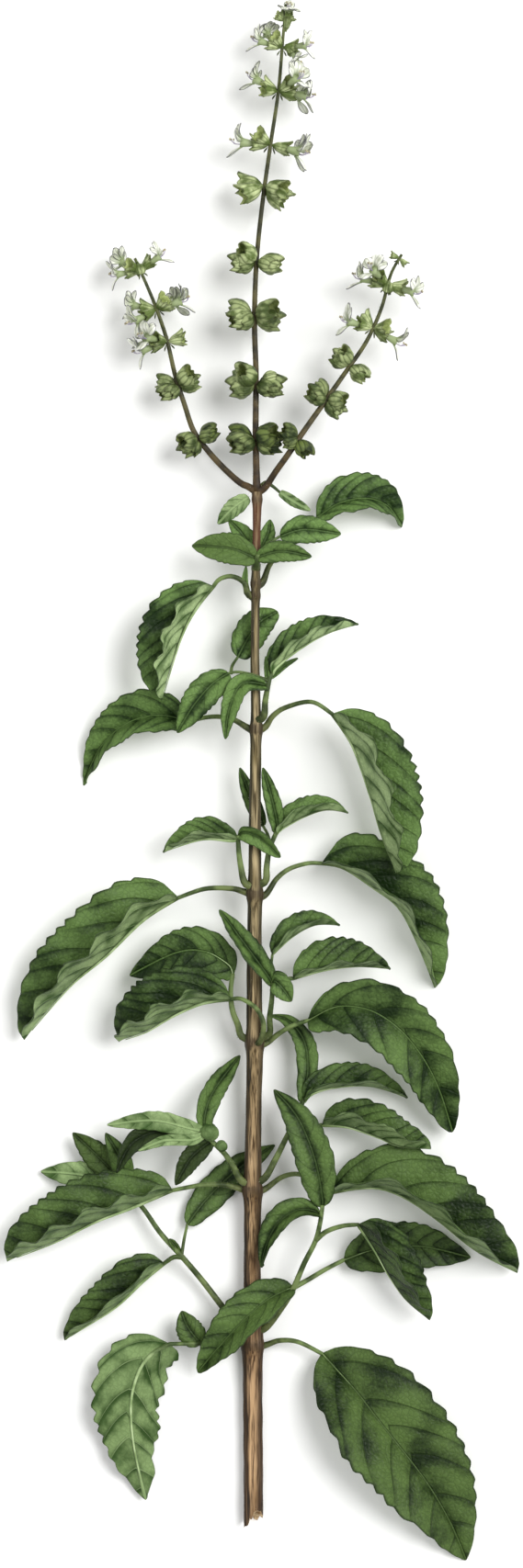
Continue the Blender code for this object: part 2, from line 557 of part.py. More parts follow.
def fuse(name, pieces, collection, surface):
    """One object of all the pieces, joined by a Boolean union; the pieces are removed."""
    first, rest = pieces[0], pieces[1:]
    joined = bpy.data.collections.new(name + "_pieces")
    bpy.context.scene.collection.children.link(joined)
    for piece in rest:
        for holder in list(piece.users_collection):
            holder.objects.unlink(piece)
        joined.objects.link(piece)
    if rest:
        union = first.modifiers.new("union", "BOOLEAN")
        union.operation = "UNION"
        union.operand_type = "COLLECTION"
        union.collection = joined
        union.solver = "MANIFOLD"
    bpy.context.view_layer.update()
    graph = bpy.context.evaluated_depsgraph_get()
    mesh = bpy.data.meshes.new_from_object(first.evaluated_get(graph))
    for piece in pieces:
        bpy.data.objects.remove(piece)
    bpy.data.collections.remove(joined)
    mesh.name = name
    mesh.materials.clear()
    mesh.materials.append(surface)
    obj = bpy.data.objects.new(name, mesh)
    collection.objects.link(obj)
    return obj


def rest_on_table(obj, root):
    """Bends a leaf down, more the further from its root, until its lowest point is at z = 0."""
    root = Vector(root).xy * MM
    lowest = min(obj.data.vertices, key=lambda vertex: vertex.co.z)
    low, reach = lowest.co.z, (lowest.co.xy - root).length
    for vertex in obj.data.vertices:
        vertex.co.z -= low * (vertex.co.xy - root).length / reach


def main_stem(collection, surface):
    """A square stem with bevelled corners and a swelling at each node, torn off at its lower end."""
    outline = bpy.data.curves.new("stem_section", "CURVE")
    corner = outline.splines.new("POLY")
    corner.points.add(SECTION_CORNERS - 1)
    section = []
    for x, y in ((1, -1), (1, 1), (-1, 1), (-1, -1)):
        first, second = (x * STEM_CORNER, y), (x, y * STEM_CORNER)
        section += [first, second] if x * y < 0 else [second, first]
    for point, (x, y) in zip(corner.points, section):
        point.co = (x * MM, y * MM, 0, 1)
    corner.use_cyclic_u = True
    profile = bpy.data.objects.new("stem_section", outline)
    collection.objects.link(profile)
    curve = bpy.data.curves.new("main_stem", "CURVE")
    curve.dimensions = "3D"
    curve.twist_mode = "Z_UP"
    curve.bevel_mode = "OBJECT"
    curve.bevel_object = profile
    curve.use_fill_caps = True
    spline = curve.splines.new("POLY")
    spline.points.add(len(STEM) - 1)
    for point, (x, y, z, half_width) in zip(spline.points, STEM):
        point.co = (x * MM, y * MM, z * MM, 1)
        point.radius = half_width
    source = bpy.data.objects.new("main_stem", curve)
    collection.objects.link(source)
    bpy.context.view_layer.update()
    stem = as_mesh("main_stem", source, collection)
    bpy.data.objects.remove(profile)
    end = Vector(STEM[0][:3]) * MM
    for vertex in stem.data.vertices:
        out = vertex.co - end
        if abs(out.y) < MM:
            angle = math.atan2(out.z, out.x) % (2 * math.pi)
            vertex.co.y -= TEAR[int(angle / (2 * math.pi) * len(TEAR))] * MM
    stem.data.materials.append(surface)
    return stem


def cup(name, rings, cavity, teeth, frame, scale, collection):
    """A stalked cup: a sphere's rings moved to the given distances and radii, its mouth toothed."""
    bm = bmesh.new()
    bmesh.ops.create_uvsphere(bm, u_segments=CALYX_SIDES, v_segments=len(rings) + 1, radius=1)
    bm.verts.ensure_lookup_table()
    root = rings[0][0] - CUP_ROOT
    for vertex in bm.verts:
        ring = round(math.acos(max(-1, min(1, vertex.co.z))) / math.pi * (len(rings) + 1))
        angle = math.atan2(vertex.co.y, vertex.co.x) % (2 * math.pi)
        if ring == 0 or ring == len(rings) + 1:
            vertex.co = (0, 0, root if ring == 0 else cavity)
            continue
        out, radius = rings[ring - 1]
        if ring == len(rings):
            out += teeth[round(angle / (2 * math.pi) * CALYX_SIDES) % CALYX_SIDES]
        vertex.co = (radius * math.cos(angle), radius * math.sin(angle), out)
    bmesh.ops.transform(bm, matrix=frame @ Matrix.Scale(scale * MM, 4), verts=bm.verts)
    bmesh.ops.recalc_face_normals(bm, faces=bm.faces)
    return new_object(name, bm, collection)


def whorl_frames(centre, along, whorl, draw):
    """A frame for each calyx of a whorl: its z axis leaves the rachis and its x axis is its upper lip."""
    across = along.cross(Vector((0, 0, 1))).normalized()
    up = across.cross(along)
    for index in range(CALYCES_A_WHORL):
        wobble, tip = draw.uniform(-TURN_WOBBLE, TURN_WOBBLE), draw.uniform(-TIP_WOBBLE, TIP_WOBBLE)
        if index in whorl.missing:
            continue
        out = turned(across, up, whorl.turn + index * 360 / CALYCES_A_WHORL + wobble)
        way = turned(out, along, whorl.lean + tip)
        lip = (along - way * along.dot(way)).normalized()
        frame = Matrix((lip, way.cross(lip), way)).transposed().to_4x4()
        yield index, Matrix.Translation(centre) @ frame


def raceme(name, given, collection, surface):
    """A rachis with its whorls of calyces, some of them in flower."""
    draw = random.Random(SEED)
    route = smooth_route(given.rachis, RACHIS_PLACES)
    pieces = [tube(name + "_rachis", given.rachis, RACHIS_RADII, SHOOT_STEP, collection)]
    for number, whorl in enumerate(given.whorls):
        nearest = min(range(1, len(route) - 1), key=lambda place: abs(route[place].y - whorl.y * MM))
        along = (route[nearest + 1] - route[nearest - 1]).normalized()
        for index, frame in whorl_frames(route[nearest], along, whorl, draw):
            label = f"{name}_{number}_{index}"
            pieces.append(cup(label, CALYX_RINGS, CALYX_CAVITY, CALYX_TEETH, frame, whorl.size, collection))
            if index in whorl.flowers:
                label += "_flower"
                pieces.append(cup(label, FLOWER_RINGS, FLOWER_CAVITY, FLOWER_LOBES, frame, whorl.size, collection))
    return fuse(name, pieces, collection, surface)


def main():
    clear_scene()
    bunch = bpy.data.collections.new("basil_bunch")
    bpy.context.scene.collection.children.link(bunch)
    bark, green, calyx = (material(name) for name in MATERIALS)
    main_stem(bunch, bark)
    for name, leaf in STEM_LEAVES.items():
        pieces = leaf_pieces(name, leaf, bunch)
        for number, side_leaf in enumerate(SIDE_LEAVES.get(name, ())):
            pieces += leaf_pieces(f"{name}_side_{number}", side_leaf, bunch)
        made = fuse(name, pieces, bunch, green)
        if name in RESTING:
            rest_on_table(made, leaf.petiole[0])
    for name, shoot in SHOOTS.items():
        pieces = [tube(name + "_stalk", shoot.stalk, SHOOT_RADII, SHOOT_STEP, bunch)]
        for number, leaf in enumerate(shoot.leaves):
            pieces += leaf_pieces(f"{name}_{number}", leaf, bunch)
        pieces += [bud(f"{name}_bud", given[:3], given[3], bunch) for given in shoot.buds]
        fuse(name, pieces, bunch, green)
    for name, given in RACEMES.items():
        raceme(name, given, bunch, calyx)


main()
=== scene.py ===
"""The looks of a cut, flowering stem of basil lying on a table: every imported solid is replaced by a
finer piece on the same lines, with thin toothed blades, veins, hairs, calyces and open flowers.

The frame is the part's own: +Y runs along the stem to its flowers, +X is the right side seen from
above and +Z is up. Routes and sizes are in millimetres, and a piece's mesh is in metres.
"""

import math
import random
from collections import namedtuple

import bpy
import numpy as np
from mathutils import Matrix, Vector
from mathutils.geometry import interpolate_bezier


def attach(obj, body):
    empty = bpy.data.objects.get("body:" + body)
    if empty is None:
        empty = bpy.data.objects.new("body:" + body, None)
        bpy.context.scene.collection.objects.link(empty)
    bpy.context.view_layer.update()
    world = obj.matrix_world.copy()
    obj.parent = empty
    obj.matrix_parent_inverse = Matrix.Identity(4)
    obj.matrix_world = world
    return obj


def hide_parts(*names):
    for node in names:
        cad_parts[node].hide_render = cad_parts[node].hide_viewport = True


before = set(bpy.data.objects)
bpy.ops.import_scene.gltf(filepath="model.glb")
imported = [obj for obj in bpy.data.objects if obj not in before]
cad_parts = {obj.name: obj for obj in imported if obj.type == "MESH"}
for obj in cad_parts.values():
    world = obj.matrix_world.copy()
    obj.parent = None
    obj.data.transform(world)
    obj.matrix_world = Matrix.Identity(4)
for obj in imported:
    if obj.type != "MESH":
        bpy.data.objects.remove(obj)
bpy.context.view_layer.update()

MM = 0.001
UP = (0.0, 0.0, 1.0)
SEED = 11
# The values that each point of a piece has for the materials: where it is among the side veins, its
# way out from the middle, its nearness to a margin, how light it is and how clear its side veins are
POINT_VALUES = ("vein_order", "across", "edge", "tone", "veins")
LEAST_HEIGHT = 0.03

# The picture: it is 569 x 1707 pixels at 4 pixels to a millimetre, and the stem's axis is at pixel 275
PICTURE_HEIGHT = 426.75
PICTURE_CENTRE = (2.4, 176.6)
CAMERA_LENS = 200.0
SENSOR = 36.0
CAMERA_REACH = 20.0
MID_HEIGHT = 10.0
FLOOR_REACH = 20.0
WORLD_STRENGTH = 0.6
# Lights: the side that each shines from, its energy and its angle in degrees
LIGHTS = {"key": ((0.5, 0.25, 0.95), 2.6, 32), "fill": ((-0.6, 0.2, 0.8), 0.7, 50)}

# Blades: those over LARGE_HALF_WIDTH have more and clearer side veins
LARGE_HALF_WIDTH = 6.0
BLADE_BASE_HALF_WIDTH = 0.75
BLADE_TIP_HALF_WIDTH = 0.25
MOST_END_SHARE = 0.6
CURL = 14.0
CHORD_SHARE = 0.55
LEAST_HALF_GAP = 1.0
MARGIN_DEPTH = 0.082
MARGIN_BAND = 0.6
MARGIN_WAVE = 0.055
OVER_TEETH = 0.6
OVER_WAVE = 0.5
TOOTH_TIP = 0.68
TEETH_RATIO = 1.45
ROWS_A_TOOTH = 7
LEAST_ROWS = 24
COLUMN_GAP = 0.85
LEAST_COLUMNS = 5
BLADE_THICKNESS = 0.36
MARGIN_THICKNESS = 0.16
SMALL_LEAF_VEINS = 4.5
LARGE_LEAF_VEINS = 6.5
SMALL_LEAF_CLEARNESS = 0.4
LARGE_LEAF_CLEARNESS = 0.8
VEIN_RISE = 0.5
VEIN_ARC = 0.85
VEIN_STAGGER = 0.22
ORDER_START = 8
QUILT_DEPTH = 0.02
RUMPLE = 0.11
MIDRIB_GROOVE = 0.3
MIDRIB_HALF_WIDTH = 0.8
MIDRIB_END = 0.94
MIDRIB_ROWS = 26
NET_SCALE = 760

# Stalks and hairs
PETIOLE_RADIUS = 0.75
SMALL_STALK_RADIUS = 0.5
SHOOT_RADII = (1.0, 0.65)
RACHIS_RADII = (1.0, 0.42)
RACHIS_PLACES = 200
RACHIS_ROWS = 70
STALK_STEP = 0.9
ROOT_DROP = 1.2
TUBE_SIDES = 12
CURVE_STEPS = 40
HAIR_RADIUS = 0.04
HAIR_ROOT = 0.08
# Hairs: the stretch of stalk that has one, and their length
STEM_HAIRS = (0.4, 0.6)
PETIOLE_HAIRS = (0.6, 0.55)
SMALL_STALK_HAIRS = (0.9, 0.55)
SHOOT_HAIRS = (0.5, 0.6)
RACHIS_HAIRS = (0.35, 0.6)
CALYX_HAIRS = (0.22, 0.5)

# The main stem
STEM_ROWS = 420
STEM_SIDES = 48
SECTION_POWER = 3.0
FURROW = 0.035
SMOOTH_ROWS = 13
NODE_RING = 1.1
NODE_SWELL = 0.22
NODE_DROP = 0.6
TEAR_REACH = 5.0
SPLINTERS = 0.8
PITH_UNEVEN = 0.4
PITH_DEPTH = 1.9
# The rings of the torn end's hollow: share of the stem's width, and depth
END_RINGS = ((0.82, 0.5), (0.6, 1.2), (0.35, 1.6))
# The slow waves of its width: share of it, radians a millimetre along it and waves round it
STEM_WAVES = ((0.03, 0.21, 5), (0.02, 0.53, -3))
# Where the bark turns from tan to green along the stem, and the middle of its red stretch, in metres
GREEN_FROM, GREEN_TO = 0.02, 0.16
RED_MIDDLE = 0.246

# Flower spikes
CALYCES_A_WHORL = 5
TURN_WOBBLE = 5.0
TIP_WOBBLE = 7.0
# How much of its turn away from the rachis's left or right side a calyx keeps, and its tilt from it
ASIDE = 0.55
SPREAD = 13.0
CALYX_ROWS = 16
CALYX_ANGLES = 40
CALYX_RIBS = 10
CALYX_THICKNESS = 0.2
PETAL_ROWS = 12
PETAL_COLUMNS = 9
PETAL_THICKNESS = 0.14
FLOWER_SIZE = 1.28
THROAT = 6.0
STAMEN_RADIUS = 0.09
ANTHER_RADII = (0.12, 0.26, 0.12)
UPPER_PETALS = 4
STAMENS = 4
# The flower's tube out of its calyx: distance, bend towards the upper lip and radius
FLOWER_TUBE = ((2.4, 0, 0.5), (4.4, 0, 0.75), (6, 0.05, 1), (7, 0.1, 1.2))
# A whorl smaller than YOUNG_BELOW, or in flower, has young calyces. One below OLD_BELOW of a
# spike has more calyces, and all have closed over their seeds
YOUNG_BELOW = 0.6
YOUNG_SIZE = 0.85
OLD_BELOW = 0.4
OLD_CLOSED = (0.75, 1.05)
LATER_CLOSED = (0, 0.35)
EXTRA_CLOSED = (0.7, 1)
EXTRA_SIZE = 0.84
EXTRA_WOBBLE = 8.0
EXTRA_DROP = (18, 34)
BUD_CLOSED = 0.95
BUD_TONE = 0.7
BUD_SIZE = 0.8
BRACT_DROP = 1.2
BRACT_SLANT = 0.35
# The teeth of a calyx: angle from the middle of the upper lip, half-width, sharpness and height
UPPER_LOBE = (0, 1, 2.2, 1.7)
SIDE_TEETH = ((1.45, 0.4, 1, 0.8), (2.55, 0.45, 0.9, 1.7))
# Calyces from the rachis to the lip, as distance and radius: round a flower, later, and closed
CALYX_PROFILE = (
    (0, 0.3), (0.9, 0.4), (1.6, 0.95), (2.4, 1.4), (3.4, 1.7), (4.4, 1.95), (5.4, 2.2), (6.3, 2.5),
)
OPEN_PROFILE = (
    (0, 0.3), (1, 0.42), (1.9, 1.4), (2.8, 2.05), (4, 2.45), (5.2, 2.65), (6.1, 2.8), (6.7, 3),
)
CLOSED_PROFILE = (
    (0, 0.3), (1, 0.42), (1.7, 1.5), (2.6, 2.35), (3.8, 2.85), (5, 2.75), (5.9, 2.1), (6.4, 1.5),
)

Leaf = namedtuple("Leaf", "petiole midrib half_width right left teeth rise fall", defaults=[0.6, 0.88])
Shoot = namedtuple("Shoot", "stalk leaves buds", defaults=[()])
Raceme = namedtuple("Raceme", "rachis whorls")
Whorl = namedtuple("Whorl", "y size lean turn flowers missing", defaults=[(), ()])
Bud = namedtuple("Bud", "centre way size in_flower")

# The main stem: x, y, z of its axis and its half-width, from the torn cut end to the topmost node
STEM = (
    (0.2, -23.5, 2.65, 2.65),
    (0.2, -18, 2.65, 2.65),
    (0, 14, 2.65, 2.65),
    (0, 20, 3, 2.8),
    (0, 24, 3.4, 3.1),
    (0, 28, 3.6, 2.7),
    (-0.1, 45, 4.6, 2.3),
    (0, 62, 5.9, 2.35),
    (0, 66, 6.2, 2.75),
    (0, 70, 6.6, 2.35),
    (0.3, 90, 8.2, 2.1),
    (0.6, 103, 9.3, 2.3),
    (0.6, 107, 9.6, 2.65),
    (0.5, 111, 9.9, 2.2),
    (0.4, 130, 11.1, 2),
    (0.6, 143, 11.9, 1.95),
    (0.6, 147, 12.1, 2.25),
    (0.6, 151, 12.3, 1.8),
    (0.6, 170, 13, 1.6),
    (0.9, 188, 13.5, 1.5),
    (1, 192, 13.6, 1.75),
    (0.9, 196, 13.6, 1.35),
    (0.6, 210, 13.7, 1.2),
    (0.8, 228, 13.9, 1.15),
    (0.8, 231, 14, 1.35),
    (0.9, 235, 14, 1.1),
    (1.1, 245, 14, 1.05),
    (1.2, 252, 14, 1.2),
    (1.2, 256, 14, 1.45),
)
# How far each corner of the torn end reaches past it, from the right side over the top
TEAR = (-0.4, -2.4, 0.8, 3.3, 2, -1.2, 0.8, -0.8)

# The pairs of large leaves and of bracts on the main stem, numbered from the cut end up
STEM_LEAVES = {
    "leaf_1_right": Leaf(
        [(3.9, 23.6, 3.6), (7.5, 24.8, 4.4), (12.5, 24.4, 5.2)],
        [(19, 21.3, 5.8), (28, 11.5, 7), (35, 2.5, 7.4), (47, -13, 6), (54, -25, 3.4), (58.3, -35.5, 0.6)],
        16.5, 34, 172, 9,
    ),
    "leaf_1_left": Leaf(
        [(-3.9, 24, 3.6), (-8, 24, 4.8), (-13, 24.1, 6.4)],
        [(-22.8, 24.2, 8.4), (-27.5, 21.6, 9.4), (-31.2, 16.5, 10), (-33.2, 8, 9.8), (-32.4, -4, 7.8),
         (-29.3, -18.7, 2.6)], 11.6, 222, 350, 8, 0.42, 0.85,
    ),
    "leaf_2_right": Leaf(
        [(3.5, 66.2, 4.8), (8, 69.4, 5), (12.5, 70.2, 5.3), (17, 68.2, 6)],
        [(21.5, 65.6, 7), (28, 66.8, 8.4), (35, 66.8, 9.4), (42, 64, 10), (50, 58.5, 10), (61, 49.6, 8.6),
         (72.3, 43.5, 5)], 14.4, 101, 175, 9, 0.5, 0.6,
    ),
    "leaf_2_left": Leaf(
        [(-3.5, 66.3, 6.2), (-8, 67.4, 6.8), (-14, 67.3, 7.4)],
        [(-22, 66.3, 8), (-33, 61.5, 10), (-43, 57.6, 11), (-54, 52, 10.4), (-67, 46.8, 7.5)],
        13.4, 6, 73, 9, 0.5, 0.48,
    ),
    "leaf_3_right": Leaf(
        [(3.9, 106.2, 9.5), (7, 108.6, 10.3), (10.5, 110.7, 11.2)],
        [(15, 112.3, 12), (23, 116.2, 14), (32, 115.2, 15), (40, 110, 14.6), (46.5, 102, 12.6),
         (51, 93, 9.6),
         (54.5, 81.7, 6)], 9.8, 22, 160, 9, 0.5, 0.7,
    ),
    "leaf_3_left": Leaf(
        [(2.2, 107, 13.4), (3, 111.3, 14.4), (1, 115.6, 14.8), (-3, 118.2, 14.6)],
        [(-6, 118.5, 14.6), (-14, 117.2, 15), (-22, 113.6, 14.6), (-29, 109.4, 12.6), (-36.5, 106.7, 9.4)],
        13.5, 8, 71, 8, 0.5, 0.42,
    ),
    "leaf_4_right": Leaf(
        [(3.6, 146.6, 11.2), (6.5, 150.8, 10.2), (10, 153.5, 9.2), (15, 155, 8.6)],
        [(19, 155.3, 8.4), (25, 154, 8.2), (33, 148.6, 8), (40, 143, 7), (45, 133.5, 5), (50, 121, 0.8)],
        13.4, 97, 172, 9, 0.3, 0.62,
    ),
    "leaf_4_left": Leaf(
        [(-2.6, 147.4, 12.2), (-6, 148.2, 12.6), (-13, 148.1, 13)],
        [(-20.5, 146, 13), (-30, 139.8, 13.5), (-40, 130, 13), (-50, 121.5, 11), (-62.5, 107, 5)],
        14.8, 6, 72, 9, 0.42, 0.6,
    ),
    "leaf_5_right": Leaf(
        [(3.5, 192.2, 13), (5.4, 195, 13.6), (9, 197.4, 14.4), (16, 198.9, 15)],
        [(22, 195.8, 15), (27.5, 187, 15), (32, 174, 15), (35, 163.5, 14.4), (39.3, 152.3, 13)],
        14.4, 112, 174, 9, 0.5, 0.55,
    ),
    "leaf_5_left": Leaf(
        [(-1.6, 192, 13.4), (-5, 194, 13.2), (-9, 194.9, 12.8), (-13.5, 194.6, 12)],
        [(-17.5, 193.6, 11.4), (-26, 195.2, 9.4), (-34.5, 192.8, 7), (-41.5, 186.4, 3.8),
         (-46.3, 176.3, 0.6)], 8.4, 14, 118, 8, 0.32, 0.95,
    ),
    "leaf_6_right": Leaf(
        [(2.8, 231.6, 13.2), (4.8, 236.5, 11.6), (10, 243, 9.8)],
        [(17.5, 249.2, 8), (23.5, 253.2, 7), (31, 254.6, 5.4), (37, 252.4, 3.2), (40.9, 247, 0.6)],
        7.4, 63, 172, 7, 0.45, 0.7,
    ),
    "leaf_6_left": Leaf(
        [(-1.4, 228.4, 14.2), (-2.2, 231.2, 14.8), (-5.6, 233, 15.4), (-9, 232.2, 15.6)],
        [(-11, 230.5, 15.6), (-16, 223.8, 16), (-20, 215.5, 16), (-24.8, 199.5, 14.6)],
        11.8, 6, 68, 8, 0.5, 0.55,
    ),
    "bract_left": Leaf(
        [(-1, 254.4, 13.4)],
        [(-2, 254, 13.4), (-5.5, 251.4, 13.2), (-9.5, 247.3, 12.4)], 2.6, 10, 168, 4,
    ),
    "bract_right": Leaf(
        [(3.4, 258.6, 12), (5.4, 257.6, 12)],
        [(7.4, 255.9, 12), (11.5, 253.2, 12.2), (15.7, 251, 11.8)], 1.5, 10, 170, 3,
    ),
}

